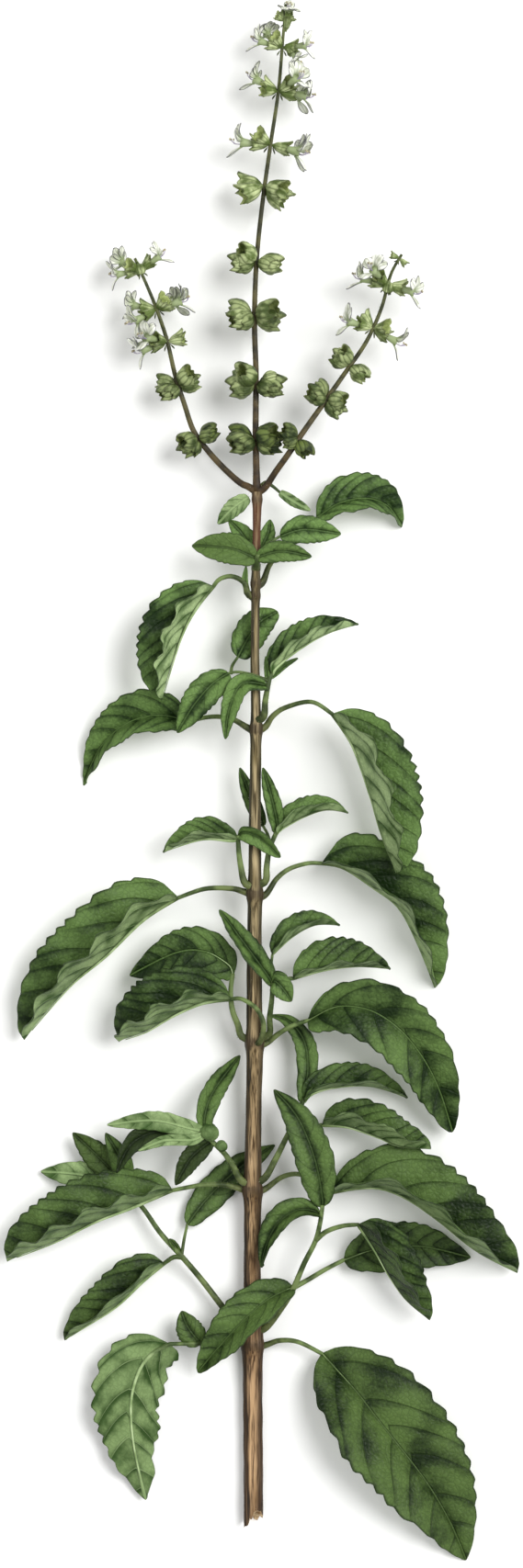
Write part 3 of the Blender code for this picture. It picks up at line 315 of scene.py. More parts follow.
# Leaves of the shoots in the axils: the first petiole point lies in the shoot's own stalk
SHOOTS = {
    "shoot_1_right": Shoot(
        [(3.6, 28.4, 5.2), (8, 34, 6.4), (11, 39, 7.4), (14, 46, 8.4), (17, 52, 9.2), (18.3, 57, 10),
         (19, 62, 10.6)],
        [
            Leaf([(11.2, 39.4, 7.5)],
                 [(9, 38.6, 8), (4, 36, 10.2), (-2, 31, 11), (-8, 24.5, 10.4), (-15, 16.3, 8)],
                 7.4, 8, 126, 6, 0.55, 0.75),
            Leaf([(11.2, 39.4, 7.4), (15, 41.4, 5.8), (20, 44.3, 4.8)],
                 [(25, 46.8, 4.4), (34, 49.8, 4.2), (46, 50.5, 3.6), (59.5, 47.3, 1.6)], 7.2, 14, 168, 6),
            Leaf([(17.2, 52.4, 9.3), (20, 54.8, 10.4), (24.5, 56.4, 11.4)],
                 [(29, 57, 12), (33.4, 50.2, 13), (37.4, 43, 12.8), (42, 36.4, 11.4), (48.4, 30.8, 9)],
                 9.8, 114, 172, 6, 0.5, 0.75),
            Leaf([(18.7, 59, 10.2)],
                 [(16.5, 60.4, 10.8), (12, 60.5, 11.4), (7, 57, 11.4), (4, 51.5, 10.8), (2.2, 45, 9.6)],
                 4.5, 12, 116, 5),
            Leaf([(19, 61.6, 10.6)],
                 [(18.9, 64, 11.4), (17.5, 72, 13.4), (15, 80, 14.2), (11.5, 87, 14), (5.8, 93.5, 12.4)],
                 5.6, 12, 168, 6),
        ],
    ),
    "shoot_1_left": Shoot(
        [(-3.8, 28.2, 3.9), (-9, 35, 5), (-14, 41.5, 5), (-19.5, 48, 6.4), (-25, 54, 5.8), (-30, 61, 4.8),
         (-35.5, 67, 4)],
        [
            Leaf([(-19.2, 47.6, 6.4), (-21.6, 47.6, 6.6)],
                 [(-24.4, 46.2, 6.8), (-30, 41.4, 7.6), (-37, 34.6, 7.4), (-44, 29.8, 5.8), (-51.5, 25, 3)],
                 9, 8, 78, 6, 0.5, 0.75),
            Leaf([(-19.4, 47.8, 6.4), (-18.7, 52.4, 5.2)],
                 [(-17.8, 56.5, 3.6), (-12.5, 63.4, 2.2), (-4, 71.5, 1.5), (6, 78, 1.4)], 4.6, 2, 178, 5),
            Leaf([(-34.6, 65.8, 4.2)],
                 [(-38, 67.6, 3.8), (-47.5, 70, 3.6), (-57.8, 70.8, 2.6)], 4.2, 8, 172, 5),
            Leaf([(-35.2, 66.8, 4)], [(-37, 69.6, 4.4), (-43, 75.8, 5), (-49, 81.5, 6.6)], 4.2, 8, 172, 5),
            Leaf([(-35, 66.4, 4.2)], [(-35, 70, 5.4), (-36.6, 75.6, 7.4), (-40, 81.5, 8.2)], 3.2, 8, 172, 3),
            Leaf([(-20.2, 49, 6.4)], [(-21, 50.4, 6.9), (-22.6, 52.6, 7.8)], 1.3, 30, 150, 2),
        ],
    ),
    "shoot_2_right": Shoot(
        [(3.2, 69.2, 8.2), (6, 74, 8.8), (9, 80, 9.2), (12, 86, 9.7), (14, 91, 10)],
        [
            Leaf([(9.2, 80.4, 9.2), (13.5, 83, 9)],
                 [(19, 84.2, 9.4), (26, 83.6, 11), (34, 80.9, 13.6), (40, 78.4, 14.4), (48.5, 77.7, 13)],
                 9, 116, 174, 6, 0.5, 0.65),
            Leaf([(13.6, 90, 9.9)],
                 [(14.2, 93, 9.8), (15, 100, 8.8), (13.8, 107, 7.6), (9.5, 112.2, 6.6), (4.6, 113.6, 6)],
                 3.2, 10, 170, 5),
            Leaf([(13.8, 90.4, 9.9)],
                 [(16, 92.6, 9.8), (22, 94.3, 9.4), (32, 94.6, 8), (42.3, 91.3, 5.6)], 6.5, 99, 174, 6),
        ],
    ),
    "shoot_2_left": Shoot(
        [(-3.1, 68.6, 8.4), (-5.4, 72.6, 9.6), (-7.6, 76, 10.8), (-10.6, 79, 12), (-13.2, 82, 13.2)],
        [
            Leaf([(-13, 82, 13.2)],
                 [(-13.2, 85.5, 13.6), (-11.8, 91, 12.6), (-8.5, 96.4, 9.6), (-3.4, 102.6, 5)],
                 3.4, 10, 150, 5),
            Leaf([(-13, 82, 13.4)], [(-17, 83, 14.6), (-27, 85.2, 15.6), (-39.5, 84, 14)], 2.9, 10, 170, 5),
            Leaf([(-13, 81.4, 13.2)], [(-17, 81, 13.2), (-26, 82, 13.8), (-33, 78.6, 14.4), (-37, 71, 14.6)],
                 3.6, 20, 160, 5),
            Leaf([(-13, 81.4, 14)],
                 [(-16.6, 79.9, 15.2), (-24, 79.8, 15.8), (-31, 77, 15.6)], 1.7, 10, 170, 3),
            Leaf([(-11, 79.4, 12.2)],
                 [(-12.5, 78.6, 12), (-17, 74.5, 11.8), (-21, 67.5, 11.4)], 3.1, 10, 170, 5),
        ],
        [(-11.7, 82, 13.6, 2.4), (-8.4, 78.2, 12.6, 1.5)],
    ),
    "shoot_3_right": Shoot(
        [(4.4, 108.4, 10.8), (4.6, 113, 12.6), (5.2, 118, 14.6), (5.4, 122.6, 15.8)],
        [
            Leaf([(5.4, 122, 15.7)],
                 [(4.4, 124, 16.4), (0.3, 129.7, 17.2), (-4.2, 135.8, 17.2), (-9, 142.5, 16)],
                 3.7, 10, 130, 5),
            Leaf([(5.4, 121.6, 15.6), (8, 123.4, 15.6)],
                 [(11, 124.2, 15.4), (19, 126.3, 15), (28, 127.3, 13.6), (37.5, 126.6, 11)],
                 8.6, 99, 174, 6),
            Leaf([(5.4, 122.2, 15.8), (5, 126.6, 15.2)],
                 [(5.2, 130.6, 14.8), (11, 135.6, 14.6), (17, 138.5, 14), (23.7, 138.5, 12.6)],
                 5.2, 107, 172, 5),
            Leaf([(5.4, 121.8, 15.8)],
                 [(6, 123.2, 16.8), (8.4, 121, 17.6), (10.6, 117.6, 16.8)], 3.4, 15, 165, 3),
        ],
    ),
    "shoot_3_left": Shoot(
        [(-3, 107.9, 9.3), (-4, 111, 9.9), (-5.5, 115, 10.5), (-6, 120, 11), (-5.4, 125, 11.4)],
        [
            Leaf([(-5.4, 124.4, 11.4)],
                 [(-6.6, 127.4, 11.5), (-13, 131, 11.9), (-21, 130.6, 11.4), (-33.5, 124.5, 9)],
                 6.8, 6, 174, 6),
        ],
    ),
    "shoot_4_left": Shoot(
        [(-2.1, 149.7, 13.8), (-3.2, 154, 14.2), (-3.8, 158.6, 14.7), (-4, 162.6, 15.2)],
        [
            Leaf([(-4, 162, 15.2)],
                 [(-6, 161.6, 15.2), (-14, 161.8, 14.8), (-24.5, 158.3, 13)], 6.2, 8, 71, 5),
            Leaf([(-4, 162.4, 15.3)],
                 [(-2.2, 163.6, 16.2), (2.5, 161.8, 16.8), (7.5, 156.6, 16)], 3.2, 15, 125, 3),
        ],
    ),
    "shoot_4_right": Shoot(
        [(3.5, 150.2, 13.4), (3.8, 154, 13.6), (4.6, 159, 13.8), (6.6, 163.8, 14)],
        [
            Leaf([(6.3, 163.2, 14)], [(8, 164.8, 14), (14, 168, 14.2), (20, 169.8, 13.8), (26, 169, 12.6)],
                 5.2, 118, 172, 5),
            Leaf([(6.4, 163.4, 14)],
                 [(6.6, 166, 14.6), (5.2, 172.6, 16), (2.8, 181, 16.8)], 2.5, 15, 160, 3),
            Leaf([(4.8, 159.4, 13.7), (4.2, 162.6, 11.6)],
                 [(2.8, 165.2, 10), (-0.4, 172.6, 9.2), (-3.5, 181, 9.8)], 2.3, 5, 175, 3),
        ],
    ),
    "shoot_5": Shoot(
        [(3, 195, 15.2), (3.4, 199, 15.9), (4.1, 203, 16.4), (5, 207.2, 16)],
        [
            Leaf([(4, 202.6, 16.3)],
                 [(2.8, 203.6, 17), (-3, 203.6, 18.2), (-6.2, 197, 18.4), (-7.5, 188.8, 17.4)],
                 3.3, 14, 150, 5),
            Leaf([(4.4, 204.6, 16.4), (0, 206.2, 17), (-4, 207, 17)],
                 [(-6.5, 206.7, 16.8), (-11, 203.6, 17), (-16, 197.8, 17), (-20.5, 190.5, 15.8)],
                 4.6, 12, 165, 6),
            Leaf([(-5.8, 206.6, 16.6), (-5.6, 208.6, 14.8)],
                 [(-4, 211.2, 12.6), (-1.6, 215.8, 10.4), (1.8, 220.6, 9.6), (6.8, 223.6, 9.8)],
                 4.7, 0, 184, 5, 0.5, 0.6),
            Leaf([(4.9, 206.6, 16)],
                 [(6.4, 208.8, 15.8), (12, 213.2, 15.6), (20, 217.7, 15.2), (28.7, 220.3, 14)],
                 6.6, 112, 170, 6),
            Leaf([(4.6, 205.4, 16.2)],
                 [(6, 206.4, 15.6), (9, 209, 15), (12.3, 210.8, 14.6)], 0.9, 10, 170, 2),
            Leaf([(4.2, 204, 16.4)], [(3.9, 206, 16.8), (3.6, 211.2, 17.4)], 0.8, 10, 170, 2),
        ],
    ),
    "shoot_6_front": Shoot(
        [(1, 236.4, 15.9), (1.1, 237.6, 16.6), (1.4, 239, 17)],
        [
            Leaf([(1.1, 237.8, 16.7)],
                 [(0, 238.2, 17), (-5, 240.2, 17.6), (-11, 241, 17.2), (-16.5, 241.3, 15.8)],
                 4.6, 12, 160, 5),
            Leaf([(1.2, 238, 16.8)], [(2.5, 238.6, 17.2), (8, 239.8, 18), (16, 238.3, 17)], 3.2, 12, 160, 5),
            Leaf([(1.3, 238.6, 16.9), (4, 241.6, 16)],
                 [(7.5, 243.9, 15), (14, 245.8, 14.6), (24, 244.6, 13.2)], 4.1, 10, 168, 5),
        ],
    ),
    "shoot_6_back": Shoot(
        [(1, 236.6, 12.2), (1.2, 238.4, 11), (1.4, 240, 10.4)],
        [
            Leaf([(1.2, 238.6, 10.9)],
                 [(0, 240.4, 10.6), (-3, 244.8, 10.4), (-6.5, 248.5, 10)], 3, 8, 172, 3),
            Leaf([(1.3, 239.2, 10.7)],
                 [(2.4, 241.2, 10.2), (4.2, 245, 9.6), (4.8, 248.6, 9.4)], 2.5, 8, 172, 3),
        ],
    ),
}
# A small young leaf beside the petiole that it shares an axil with, fused to it
SIDE_LEAVES = {
    "leaf_1_left": [
        Leaf([(-13.8, 24.1, 6.5)],
             [(-15.4, 25.4, 6.8), (-18, 29.2, 7.4), (-19.4, 33, 7.2)], 3.9, 10, 170, 4),
    ],
    "leaf_6_left": [Leaf([(-1.5, 228.8, 14.3)], [(-2.1, 232, 15.4), (-1.8, 235.6, 15.9)], 0.9, 10, 170, 2)],
}
# Leaves whose lowest point bears on the table
RESTING = ("leaf_1_right", "leaf_4_right", "leaf_5_left", "leaf_6_right")

# Leaves with a face or tone of their own, by node and place: turned over to show the underside, or
# green on both faces, and how light the leaf is, which below 0 is nearly black
LEAF_LOOKS = {
    ("shoot_2_left", 1): ("over", 0.5),
    ("shoot_2_left", 2): (None, -0.9),
    ("shoot_2_left", 3): ("over", 0.6),
    ("shoot_2_left", 4): (None, -0.7),
    ("shoot_1_left", 2): ("over", 0.5),
    ("shoot_1_left", 3): (None, -0.2),
    ("shoot_1_right", 2): ("both", 0.4),
    ("shoot_1_right", 0): (None, 0.3),
    ("shoot_6_front", 0): (None, 0.3),
    ("shoot_6_front", 1): (None, 0.5),
    ("bract_left", 0): ("over", 0.6),
    ("bract_right", 0): ("over", 0.4),
}

# Flower spikes, with their whorls from the foot up
RACEMES = {
    "raceme_centre": Raceme(
        [(1.1, 257.2, 14), (1, 262, 14.2), (0.8, 272, 14.4), (0.9, 288, 14.4), (0.5, 302, 14.2),
         (1, 318, 14),
         (2.6, 334, 13.8), (4.8, 350, 13.8), (7, 365, 13.8), (8.2, 379, 13.8), (9.1, 388.5, 13.6)],
        [
            Whorl(270.5, 1.08, -4, 0),
            Whorl(285.5, 1.08, 4, 20),
            Whorl(304, 1.08, 0, 0),
            Whorl(319, 1.02, 4, 25),
            Whorl(339, 1, -16, 5),
            Whorl(350.5, 0.92, 10, 30, (0, 2, 4)),
            Whorl(364.5, 0.85, 14, 0, (0, 1, 3, 4)),
            Whorl(376.5, 0.75, 22, 30, (0, 2, 3)),
            Whorl(384, 0.5, 40, 0),
        ],
    ),
    "raceme_left": Raceme(
        [(-1.2, 257.4, 13.8), (-3.6, 258.6, 13.4), (-8, 262.6, 12.6), (-12, 267, 12), (-16, 272.5, 11.8),
         (-18.6, 280, 12), (-21, 287.5, 12.2), (-23.5, 298, 12.4), (-27, 308, 12.6), (-32, 319.5, 12.8)],
        [
            Whorl(270.5, 0.86, 0, 30),
            Whorl(285, 0.86, 6, 0),
            Whorl(296.8, 0.84, 12, 30, (1, 2, 3)),
            Whorl(305.5, 0.8, 8, 0, (0, 2, 3, 4)),
            Whorl(316.2, 0.74, 28, 30, (0, 2, 3)),
        ],
    ),
    "raceme_right": Raceme(
        [(3.4, 257.2, 14.6), (6.4, 261.6, 16.2), (9.6, 266, 17.4), (14, 272.5, 17.2), (20, 281, 15.4),
         (26, 289.6, 14.4), (31, 297, 14), (35, 306, 13.8), (37.5, 315, 13.8), (40.5, 320.5, 13.8)],
        [
            Whorl(270.5, 0.8, -20, 60, (), (2, 3)),
            Whorl(281, 0.84, 4, 0),
            Whorl(290.5, 0.84, 6, 30),
            Whorl(300.5, 0.84, 6, 0, (0, 2)),
            Whorl(312, 0.84, 16, 30, (0, 1, 2)),
            Whorl(319.5, 0.45, 0, 0, (), (1, 3, 4)),
        ],
    ),
}
# Single buds, and the topmost flower of the middle spike
BUDS = {
    "raceme_centre": [
        Bud((9, 381, 13.7), (0.12, 1, 0.1), 0.68, True),
        Bud((9, 377.5, 14.2), (0.55, -0.8, 0.3), 0.6, True),
        Bud((2, 286, 14.6), (0.95, 0.25, 0.4), 0.95, False),
    ],
    "raceme_left": [Bud((-31.3, 318.5, 13.4), (0.25, -0.95, 0.25), 0.7, False)],
    "raceme_right": [Bud((37.2, 313.5, 14.2), (-0.2, -0.95, 0.3), 0.7, False)],
}


# Materials


class Nodes:
    """Short names for building a material's node tree."""

    def __init__(self, name, roughness, colour, shine=0.5):
        self.material = bpy.data.materials.new(name)
        self.material.use_nodes = True
        self.material.diffuse_color = colour
        self.tree = self.material.node_tree
        self.shader = self.tree.nodes["Principled BSDF"]
        self.shader.inputs["Roughness"].default_value = roughness
        self.shader.inputs["Base Color"].default_value = colour
        self.shader.inputs["Specular IOR Level"].default_value = shine

    def add(self, kind, given, **settings):
        """A new node with its settings, and a value or a link on each socket that given names."""
        node = self.tree.nodes.new("ShaderNode" + kind)
        for name, value in settings.items():
            setattr(node, name, value)
        for socket, value in given.items():
            if isinstance(value, bpy.types.NodeSocket):
                self.tree.links.new(value, node.inputs[socket])
            else:
                node.inputs[socket].default_value = value
        return node

    def math(self, operation, *values):
        return self.add("Math", dict(enumerate(values)), operation=operation).outputs[0]

    def times(self, first, second):
        return self.math("MULTIPLY", first, second)

    def less(self, first, second):
        return self.math("SUBTRACT", first, second)

    def away(self, value, middle):
        return self.math("ABSOLUTE", self.less(value, middle))

    def weighed(self, total, *parts):
        """total plus each value times its weight."""
        for weight, value in parts:
            total = self.math("MULTIPLY_ADD", value, weight, total)
        return total

    def ramp(self, value, low, high, out_low=0.0, out_high=1.0):
        """value taken smoothly from low..high to out_low..out_high."""
        given = dict(enumerate((value, low, high, out_low, out_high)))
        return self.add("MapRange", given, interpolation_type="SMOOTHSTEP").outputs[0]

    def mix(self, share, first, second):
        return self.add("Mix", {0: share, 6: first, 7: second}, data_type="RGBA").outputs[2]

    def tint(self, colour, mask, strength, other):
        return self.mix(self.times(mask, strength), colour, other)

    def place(self):
        return self.add("TexCoord", {}).outputs["Object"]

    def attribute(self, name):
        return self.add("Attribute", {}, attribute_name=name).outputs["Fac"]

    def noise(self, place, scale, detail):
        return self.add("TexNoise", {"Vector": place, "Scale": scale, "Detail": detail}).outputs["Fac"]

    def stretched(self, place, across, along):
        """A place whose noise is drawn out along the stem."""
        return self.add("Mapping", {"Vector": place, "Scale": (across, along, across)}).outputs[0]

    def stripes(self, low, high):
        """1 where "vein_order" is whole, and 0 between."""
        order = self.math("FRACT", self.attribute("vein_order"))
        return self.ramp(self.away(order, 0.5), low, high)

    def finish(self, colour, height=None, depth=0.0, roughness=None):
        """The material with its colour, and with bumps of depth millimetres and a roughness if given."""
        inputs = self.shader.inputs
        self.tree.links.new(colour, inputs["Base Color"])
        if height is not None:
            relief = self.add("Bump", {"Height": height, "Distance": depth * MM, "Strength": 1.0})
            self.tree.links.new(relief.outputs[0], inputs["Normal"])
        if roughness is not None:
            self.tree.links.new(roughness, inputs["Roughness"])
        return self.material


def srgb(*shades):
    """A linear colour from one given as 0 to 255 on a screen."""
    linear = [c / 255 / 12.92 if c <= 10 else ((c / 255 + 0.055) / 1.055) ** 2.4 for c in shades]
    return (*linear, 1.0)


class LeafNodes(Nodes):
    """A leaf's material, with the masks that both its faces have."""

    def __init__(self, name, roughness, colour, shine, patch_scale):
        super().__init__(name, roughness, colour, shine)
        self.where = self.place()
        self.edge, self.tone, self.clear = (self.attribute(name) for name in ("edge", "tone", "veins"))
        self.across = self.attribute("across")
        self.patches = self.noise(self.where, patch_scale, 4)
        # between rises from one side vein to the next: painted light on one side of each quilted field
        self.between = self.times(self.math("FRACT", self.attribute("vein_order")), self.clear)
        # near is 1 beside the veins: painted shade in the creases along them
        self.near = self.times(self.stripes(0.15, 0.5), self.clear)
        lateral = self.times(self.stripes(0.455, 0.49), self.ramp(self.edge, 1.0, 0.55, 0.25, 1.0))
        midrib = self.ramp(self.across, 0.5, 0.2)
        self.lines = self.math("MAXIMUM", self.times(lateral, self.clear), midrib)
        self.net = self.net_of_veins()

    def net_of_veins(self):
        """The finest veins: 0 on them, rising between them, on a slightly wavering grid."""
        stray = self.add("TexNoise", {"Vector": self.where, "Scale": NET_SCALE * 1.6}).outputs["Color"]
        shift = self.add("VectorMath", {0: stray, "Scale": 0.45 / NET_SCALE}, operation="SCALE")
        moved = self.add("VectorMath", {0: self.where, 1: shift.outputs[0]}, operation="ADD")
        given = {"Vector": moved.outputs[0], "Scale": NET_SCALE}
        return self.add("TexVoronoi", given, feature="DISTANCE_TO_EDGE").outputs["Distance"]

    def veined(self, lit, reach, dark, light, vein):
        """From dark to light as lit goes from 0 to reach, under the net and the veins."""
        colour = self.mix(self.ramp(lit, 0.0, reach), dark, light)
        colour = self.tint(colour, self.ramp(self.net, 0.14, 0.02), 0.2, dark)
        return self.tint(colour, self.lines, 0.6, vein)


def leaf_upper_material():
    """The upper side, darker where "tone" is low, and almost black where it is below 0."""
    nodes = LeafNodes("leaf_upper", 0.55, srgb(62, 88, 42), 0.16, 120)
    edge, tone = nodes.edge, nodes.tone
    broad, grain = nodes.noise(nodes.where, 42, 1), nodes.noise(nodes.where, 1300, 2)
    dark = nodes.mix(tone, srgb(14, 28, 5), srgb(21, 42, 9))
    light = nodes.mix(tone, srgb(72, 92, 44), srgb(102, 132, 70))
    # A painted highlight: a pale band half-way from the midrib to the margin, on small leaves only
    highlight_band = nodes.less(nodes.ramp(edge, 0.1, 0.5), nodes.ramp(edge, 0.55, 0.95))
    shine = nodes.times(highlight_band, nodes.less(0.8, nodes.clear))
    # lit holds painted light and shade: one side of each quilted field lighter, darker beside the veins, and
    # the highlight band
    lit = nodes.weighed(
        -1.29, (0.26, nodes.between), (1.35, nodes.patches), (1.3, broad), (0.9, shine),
        (-0.2, nodes.near), (0.4, grain), (0.16, edge),
    )
    # The veins take the dark colour: painted shade in their grooves
    colour = nodes.veined(lit, 0.8, dark, light, dark)
    # A pale line down the midrib: its own paler colour and a painted highlight, between the painted shade of
    # its groove
    midrib_pale_and_highlight = nodes.times(nodes.ramp(nodes.across, 0.3, 0.12), nodes.clear)
    colour = nodes.tint(colour, midrib_pale_and_highlight, 0.7, light)
    colour = nodes.tint(colour, nodes.ramp(edge, 0.92, 1.0), 0.8, srgb(18, 32, 8))
    colour = nodes.mix(nodes.ramp(tone, 0.0, -1.0, 0.0, 0.75), colour, srgb(8, 20, 4))
    height = nodes.weighed(0.0, (1.4, nodes.net), (-1.0, nodes.lines))
    return nodes.finish(colour, height, 0.22, nodes.ramp(nodes.patches, 0.3, 0.7, 0.44, 0.6))


def leaf_under_material():
    nodes = LeafNodes("leaf_under", 0.65, srgb(125, 148, 98), 0.18, 160)
    dark = nodes.mix(nodes.tone, srgb(38, 62, 20), srgb(58, 86, 34))
    light = nodes.mix(nodes.tone, srgb(102, 126, 74), srgb(166, 188, 134))
    # lit holds painted light and shade: one side of each quilted field lighter, and darker beside the raised
    # veins
    lit = nodes.weighed(-0.5, (0.4, nodes.between), (1.6, nodes.patches), (-0.35, nodes.near))
    colour = nodes.veined(lit, 0.7, dark, light, srgb(142, 166, 112))
    colour = nodes.tint(colour, nodes.ramp(nodes.edge, 0.95, 1.0), 0.6, srgb(46, 64, 26))
    return nodes.finish(colour, nodes.weighed(0.0, (-0.8, nodes.net), (1.6, nodes.lines)), 0.25)


def stalk_material():
    """Green, browner where "tone" nears 1, and pale as a midrib where "edge" nears 1."""
    nodes = Nodes("stalk", 0.55, srgb(92, 108, 60), 0.3)
    streaks = nodes.ramp(nodes.noise(nodes.place(), 260, 3), 0.36, 0.64)
    green = nodes.mix(streaks, srgb(48, 66, 24), srgb(104, 124, 70))
    brown = nodes.mix(streaks, srgb(34, 23, 9), srgb(74, 56, 29))
    pale = nodes.mix(streaks, srgb(122, 146, 92), srgb(168, 188, 138))
    colour = nodes.mix(nodes.attribute("tone"), green, brown)
    return nodes.finish(nodes.mix(nodes.attribute("edge"), colour, pale), streaks, 0.1)


def bark_material():
    """Tan and half woody near the cut end, greener further up, with darker node rings, and with painted
    shade on its flanks: seen from above, the sides are darker than the top, the left side most.

    "across" runs from -1 to 1 over the width, and "edge" is 1 at a node."""
    nodes = Nodes("bark", 0.62, srgb(140, 112, 72), 0.3)
    place = nodes.place()
    lines = nodes.noise(nodes.stretched(place, 2200.0, 90.0), 1.0, 4)
    blotches = nodes.ramp(nodes.noise(nodes.stretched(place, 240.0, 70.0), 1.0, 3), 0.3, 0.75)
    fine = nodes.ramp(lines, 0.34, 0.6)
    across = nodes.weighed(-0.35, (0.7, lines), (1.0, nodes.attribute("across")))
    # Painted shade: the flanks turn to the shaded colours, the left one fully and the right one less
    painted_flank_shade = nodes.math("MAXIMUM", nodes.ramp(across, -0.1, -0.68), nodes.ramp(across, 0.14, 0.8, 0.0, 0.9))

    def wood(furrow, pale, blotch, shaded_furrow, shaded_ridge):
        face = nodes.mix(fine, furrow, nodes.mix(blotches, pale, blotch))
        return nodes.mix(painted_flank_shade, face, nodes.mix(fine, shaded_furrow, shaded_ridge))

    tan = wood(srgb(66, 43, 18), srgb(182, 148, 108), srgb(106, 78, 46), srgb(26, 16, 5), srgb(62, 42, 20))
    green = wood(srgb(60, 50, 22), srgb(182, 166, 126), srgb(108, 96, 56), srgb(22, 22, 6), srgb(54, 50, 22))
    along = nodes.add("SeparateXYZ", {0: place}).outputs[1]
    colour = nodes.mix(nodes.ramp(along, GREEN_FROM, GREEN_TO, 0.0, 0.85), tan, green)
    red = nodes.ramp(nodes.away(along, RED_MIDDLE), 0.013, 0.004)
    colour = nodes.tint(colour, red, 0.55, srgb(92, 46, 26))
    colour = nodes.tint(colour, nodes.attribute("edge"), 0.6, srgb(52, 38, 18))
    return nodes.finish(colour, lines, 0.2, nodes.ramp(lines, 0.3, 0.7, 0.75, 0.5))


def pith_material():
    nodes = Nodes("pith", 0.8, srgb(205, 180, 138))
    fibres = nodes.noise(nodes.place(), 1400, 3)
    colour = nodes.mix(nodes.ramp(fibres, 0.35, 0.65), srgb(140, 104, 62), srgb(214, 190, 150))
    return nodes.finish(colour, fibres, 0.3)


def calyx_material():
    """Ribbed and green: "tone" is 0 in the dark old ones at the foot of a spike and 1 in the young."""
    nodes = Nodes("calyx", 0.6, srgb(116, 128, 74), 0.3)
    tone = nodes.attribute("tone")
    patches, ribs = nodes.noise(nodes.place(), 300, 3), nodes.stripes(0.3, 0.45)
    dark = nodes.mix(tone, srgb(26, 40, 10), srgb(94, 112, 54))
    light = nodes.mix(tone, srgb(92, 107, 50), srgb(194, 206, 152))
    colour = nodes.tint(nodes.mix(nodes.ramp(patches, 0.38, 0.62), dark, light), ribs, 0.6, dark)
    colour = nodes.tint(colour, nodes.ramp(nodes.attribute("edge"), 0.88, 1.0), 0.55, srgb(58, 62, 26))
    return nodes.finish(colour, nodes.weighed(0.0, (1.0, ribs), (0.5, patches)), 0.15)


def corolla_material():
    """White petals with greyish green veins and greyish violet edges, greener towards the tube."""
    nodes = Nodes("corolla", 0.55, srgb(232, 230, 228))
    spots = nodes.ramp(nodes.noise(nodes.place(), 420, 2), 0.35, 0.65)
    colour = nodes.mix(spots, srgb(236, 238, 226), srgb(188, 192, 172))
    colour = nodes.tint(colour, nodes.stripes(0.3, 0.42), 0.45, srgb(98, 106, 82))
    colour = nodes.tint(colour, nodes.ramp(nodes.attribute("edge"), 0.7, 0.95), 0.85, srgb(74, 72, 84))
    return nodes.finish(nodes.mix(nodes.attribute("tone"), colour, srgb(138, 156, 98)))


def plain_material(name, roughness, colour, low):
    """One colour that a fine noise takes down to low."""
    nodes = Nodes(name, roughness, colour)
    grain = nodes.ramp(nodes.noise(nodes.place(), 900, 2), 0.3, 0.7)
    return nodes.finish(nodes.mix(grain, low, colour))


# Shapes


def travelled(points):
    """The length of the line through points up to each of them."""
    return np.concatenate([[0], np.cumsum(np.linalg.norm(np.diff(points, axis=0), axis=1))])


def length_of(points):
    return float(travelled(np.array(points, float))[-1])


def interpolated(places, stops, rows):
    """A row of numbers at each place, from the rows at the stops."""
    return np.array([np.interp(places, stops, column) for column in np.array(rows, float).T]).T


def route(points, shares):
    """Points in millimetres at the given shares along the smooth curve through points."""
    given = [Vector(point) for point in points]
    dense = []
    for index, (start, end) in enumerate(zip(given, given[1:])):
        before, after = given[max(index - 1, 0)], given[min(index + 2, len(given) - 1)]
        leave, arrive = start + (end - before) / 6, end - (after - start) / 6
        dense += interpolate_bezier(start, leave, arrive, end, CURVE_STEPS)[:-1]
    dense = np.array([*dense, given[-1]])
    stops = travelled(dense)
    return interpolated(np.asarray(shares) * stops[-1], stops, dense)


def unit(vectors):
    return vectors / np.maximum(np.linalg.norm(vectors, axis=-1, keepdims=True), 1e-9)


def smooth(value, low, high):
    share = np.clip((value - low) / (high - low), 0, 1)
    return share * share * (3 - 2 * share)


def circle(sides):
    return np.linspace(0, 2 * math.pi, sides, endpoint=False)


def crossways(along):
    """The level unit direction across another, and the one that stands on both."""
    across = unit(np.cross(along, UP))
    return across, np.cross(across, along)


def turned(across, up, degrees):
    angle = np.radians(degrees)[..., None]
    return across * np.cos(angle) + up * np.sin(angle)


class Piece:
    """Gathers the surfaces of one piece: points in millimetres, faces, materials and POINT_VALUES."""

    def __init__(self, name, node, slot):
        self.name, self.node, self.slot = name, node, slot
        self.points, self.values, self.faces, self.surfaces, self.materials = [], [], [], [], []
        self.count = 0

    def add(self, points, faces, surface, **values):
        """surface is a material, or one for each face, and a value is a number, or one for each point."""
        points = np.asarray(points, float).reshape(-1, 3)
        table = np.zeros((len(points), len(POINT_VALUES)))
        for name, given in values.items():
            table[:, POINT_VALUES.index(name)] = np.asarray(given, float).reshape(-1)
        surfaces = surface if isinstance(surface, list) else [surface] * len(faces)
        for made in surfaces:
            if made not in self.materials:
                self.materials.append(made)
        self.points.append(points)
        self.values.append(table)
        self.faces += [tuple(int(corner) + self.count for corner in face) for face in faces]
        self.surfaces += [self.materials.index(made) for made in surfaces]
        self.count += len(points)

    def finish(self, collection):
        points, values = np.concatenate(self.points), np.concatenate(self.values)
        points[:, 2] = np.maximum(points[:, 2], LEAST_HEIGHT)
        mesh = bpy.data.meshes.new(self.name)
        mesh.from_pydata((points * MM).tolist(), [], self.faces)
        mesh.polygons.foreach_set("material_index", self.surfaces)
        mesh.polygons.foreach_set("use_smooth", [True] * len(self.faces))
        for name, column in zip(POINT_VALUES, values.T):
            layer = mesh.attributes.new(name, "FLOAT", "POINT")
            layer.data.foreach_set("value", column.astype(np.float32))
        for made in self.materials:
            mesh.materials.append(made)
        mesh.update()
        obj = bpy.data.objects.new(self.name, mesh)
        collection.objects.link(obj)
        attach(obj, "root")
        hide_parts(self.node)


